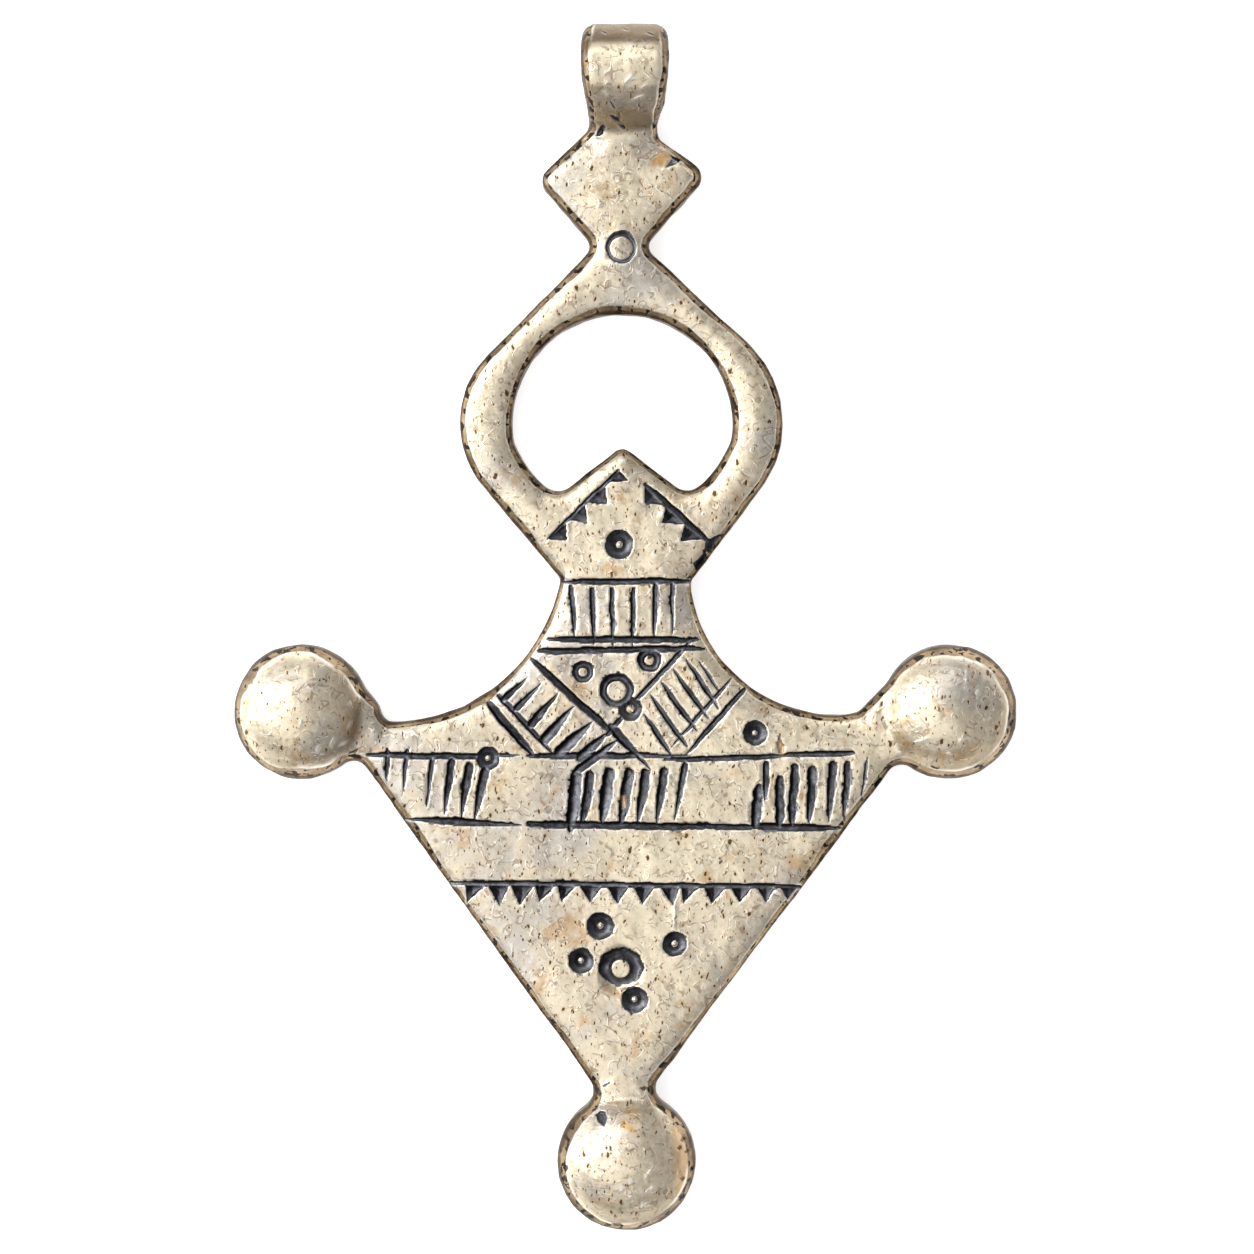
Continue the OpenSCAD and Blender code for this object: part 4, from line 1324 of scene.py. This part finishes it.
        # The plain faces fall off towards the outline; knobs and roll have a form of their own
        flat = np.hypot(np.abs(x) - SIZES.knob_span / 2, y - SIZES.knob_y) > SIZES.knob_d * self.knob_clear
        flat &= np.hypot(x, y - SIZES.foot_c[1]) > SIZES.foot_d * self.knob_clear
        flat &= y < self.bail_cut_y - 1.0
        pillow = self.pillow_drop * smoothstep(self.pillow_w, 0.1, rim) * flat
        co[:, 2] += front * (graver.burr_height * marks.burr - marks.depth + swell - pillow)
        co[:, 2] += back * self.back_share * (swell + self.back_rise)
        ragged = LatticeNoise(1.1, 14)(x + y * 0.3, co[:, 2]) * 0.045
        ragged += LatticeNoise(0.5, 15)(y, x + co[:, 2]) * 0.02
        co[:, :2] -= normals[:, :2] * ((ragged - self.side_inset) * sideways)[:, None]
        co = np.clip(co, *(np.array(corner) / MM for corner in CAD_BOX))
        mesh.vertices.foreach_set("co", co.ravel())

        on_roll = (y > self.bail_cut_y) | ((y > self.bail_cut_y - 1.2) & (co[:, 2] > SIZES.plate + 0.3))
        rim = np.where(co[:, 2] < SIZES.plate - self.side_z, 0.0, rim)
        side_gap = self.roll_side(y, x > 0) * SIZES.bail_w - np.abs(x)
        rim = np.where(on_roll, np.clip(side_gap, 0, self.rim_reach), rim)
        values = {"rim": rim * self.edge_width(points), "tone": marks.tone}
        values |= {name: getattr(marks, name) * front for name in ("groove", "burr", "stain")}
        values["rim"] = np.clip(values["rim"], 0, self.rim_reach)
        # Painted shade: how much the slopes and the roll are darkened in colour where they turn from the
        # light
        values["steep"] = np.where(on_roll, self.roll_shade(y, tilt), self.slope_shade(normals)) * (rim > 0.2)
        for name in ATTRIBUTES:
            attribute = mesh.attributes.new(name, "FLOAT", "POINT")
            attribute.data.foreach_set("value", values[name].astype(np.float32))

    @staticmethod
    def edge_width(points: np.ndarray) -> np.ndarray:
        """How much narrower than its full width the worn edge is.

        Args:
            points: (n, 2) places in millimetres.

        Returns:
            A factor for the distance from the outline.
        """
        narrow = np.zeros(len(points))
        for edge in NARROW_EDGES:
            off = np.hypot(*(points - edge.datum.place(edge.x, edge.y)).T) / edge.datum.length(edge.reach)
            narrow = np.maximum(narrow, edge.share * smoothstep(1.1, 0.8, off))
        return 1.12 + narrow + 0.42 * LatticeNoise(2.4, 16)(*points.T)

    @staticmethod
    def slope_shade(normals: np.ndarray) -> np.ndarray:
        """How much painted shade a slope takes: most where it faces the right and the foot, away from the
        light.

        Args:
            normals: (n, 3) directions that the points face.

        Returns:
            A value for each point.
        """
        tilt = normals[:, 2]
        turned = (normals[:, 0] - normals[:, 1]) / np.sqrt(np.maximum(1 - tilt**2, 1e-6))
        return (0.45 + 0.55 * np.clip(turned, -0.8, 1)) * smoothstep(0.97, 0.60, tilt)

    @staticmethod
    def roll_shade(y: np.ndarray, tilt: np.ndarray) -> np.ndarray:
        """How much painted shade the roll takes: most at its top, which turns away, and more towards its
        foot.

        Args:
            y: where along the roll, in millimetres.
            tilt: how much each point faces the front.

        Returns:
            A value for each point.
        """
        up = y - SIZES.bail_y
        top, foot = 1.3 * smoothstep(0.90, 0.80, tilt), 0.42 * smoothstep(0.97, 0.62, tilt)
        return np.where(up > 0, top, foot) + 0.40 * smoothstep(0.6, -1.4, up)

    def build(self) -> bpy.types.Object:
        """Builds and dresses the pendant.

        Returns:
            The finished piece, in metres at the origin.
        """
        graver = Graver()
        mesh = self.fuse()
        bm = bmesh.new()
        bm.from_mesh(mesh)
        self.refine(bm, graver)
        bm.to_mesh(mesh)
        bm.free()
        self.wear(mesh, graver)
        mesh.transform(Matrix.Scale(MM, 4))
        mesh.shade_smooth()
        mesh.name = PIECE
        mesh.materials.clear()
        mesh.materials.append(AgedSilver().make())
        body = add_object(PIECE, mesh)
        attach(body, "root")
        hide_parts(NODE)
        return body


# ----- camera, floor and light ------------------------------------------------------------------


@dataclass
class Studio:
    """A sheet of pale paper, soft light and a camera straight above, as the photograph has them."""

    lens: float = 120.0
    sensor: float = 36.0
    view_w: float = 78.05
    aim: tuple[float, float] = (0.109, 0.093)
    floor_size: float = 1.6
    sky: str = "#FFFFFF"
    world: float = 0.40
    # Columns: name, middle in metres, side in metres, radiance
    lights: tuple[tuple[str, tuple[float, float, float], float, float], ...] = (
        ("key", (-0.28, 0.20, 0.32), 0.30, 2.7),
        ("back", (-0.02, 0.37, 0.33), 0.22, 1.8),
        ("side", (-0.42, 0.06, 0.18), 0.36, 2.2),
        ("overhead", (-0.22, -0.16, 0.55), 0.70, 0.77),
    )

    def place_camera(self) -> None:
        """Puts the camera over the pendant, looking straight down."""
        data = bpy.data.cameras.new("camera")
        data.lens, data.sensor_width = self.lens, self.sensor
        camera = add_object("camera", data)
        distance = self.view_w * self.lens / self.sensor + SIZES.plate
        camera.location = (self.aim[0] * MM, self.aim[1] * MM, distance * MM)
        bpy.context.scene.camera = camera

    def lay_floor(self) -> bpy.types.Object:
        """Lays the paper just under the pendant's back.

        Returns:
            The floor.
        """
        bm = bmesh.new()
        bmesh.ops.create_grid(bm, x_segments=1, y_segments=1, size=self.floor_size / 2)
        mesh = bpy.data.meshes.new("floor")
        bm.to_mesh(mesh)
        bm.free()
        mesh.materials.append(MattePaper().make())
        floor = add_object("floor", mesh)
        return floor

    def add_light(self, name: str, place: tuple[float, float, float], size: float, radiance: float) -> None:
        """Hangs a square soft light that faces the pendant.

        Args:
            name: the light's name.
            place: its middle in metres.
            size: its side in metres.
            radiance: how bright its face is.
        """
        data = bpy.data.lights.new(name, "AREA")
        data.size = size
        data.energy = radiance * math.pi * size * size
        light = add_object(name, data)
        light.location = place
        light.rotation_euler = Vector(place).to_track_quat("Z", "Y").to_euler()

    def build(self) -> None:
        """Sets up camera, floor, world and lights."""
        self.place_camera()
        self.lay_floor()
        world = bpy.data.worlds.new("studio")
        world.use_nodes = True
        sky = world.node_tree.nodes["Background"].inputs
        sky["Color"].default_value = linear(self.sky)
        sky["Strength"].default_value = self.world
        bpy.context.scene.world = world
        for light in self.lights:
            self.add_light(*light)
        # Shown as measured, so that the paper reads as white and the silver as light as it is
        bpy.context.scene.view_settings.view_transform = "Standard"


def main() -> None:
    """Builds the studio and the pendant, and reports each piece."""
    logging.basicConfig(level=logging.INFO)
    Studio().build()
    body = Casting().build()
    body.data.calc_loop_triangles()
    LOG.info("%s: %d triangles", body.name, len(body.data.loop_triangles))


if __name__ == "__main__":
    main()
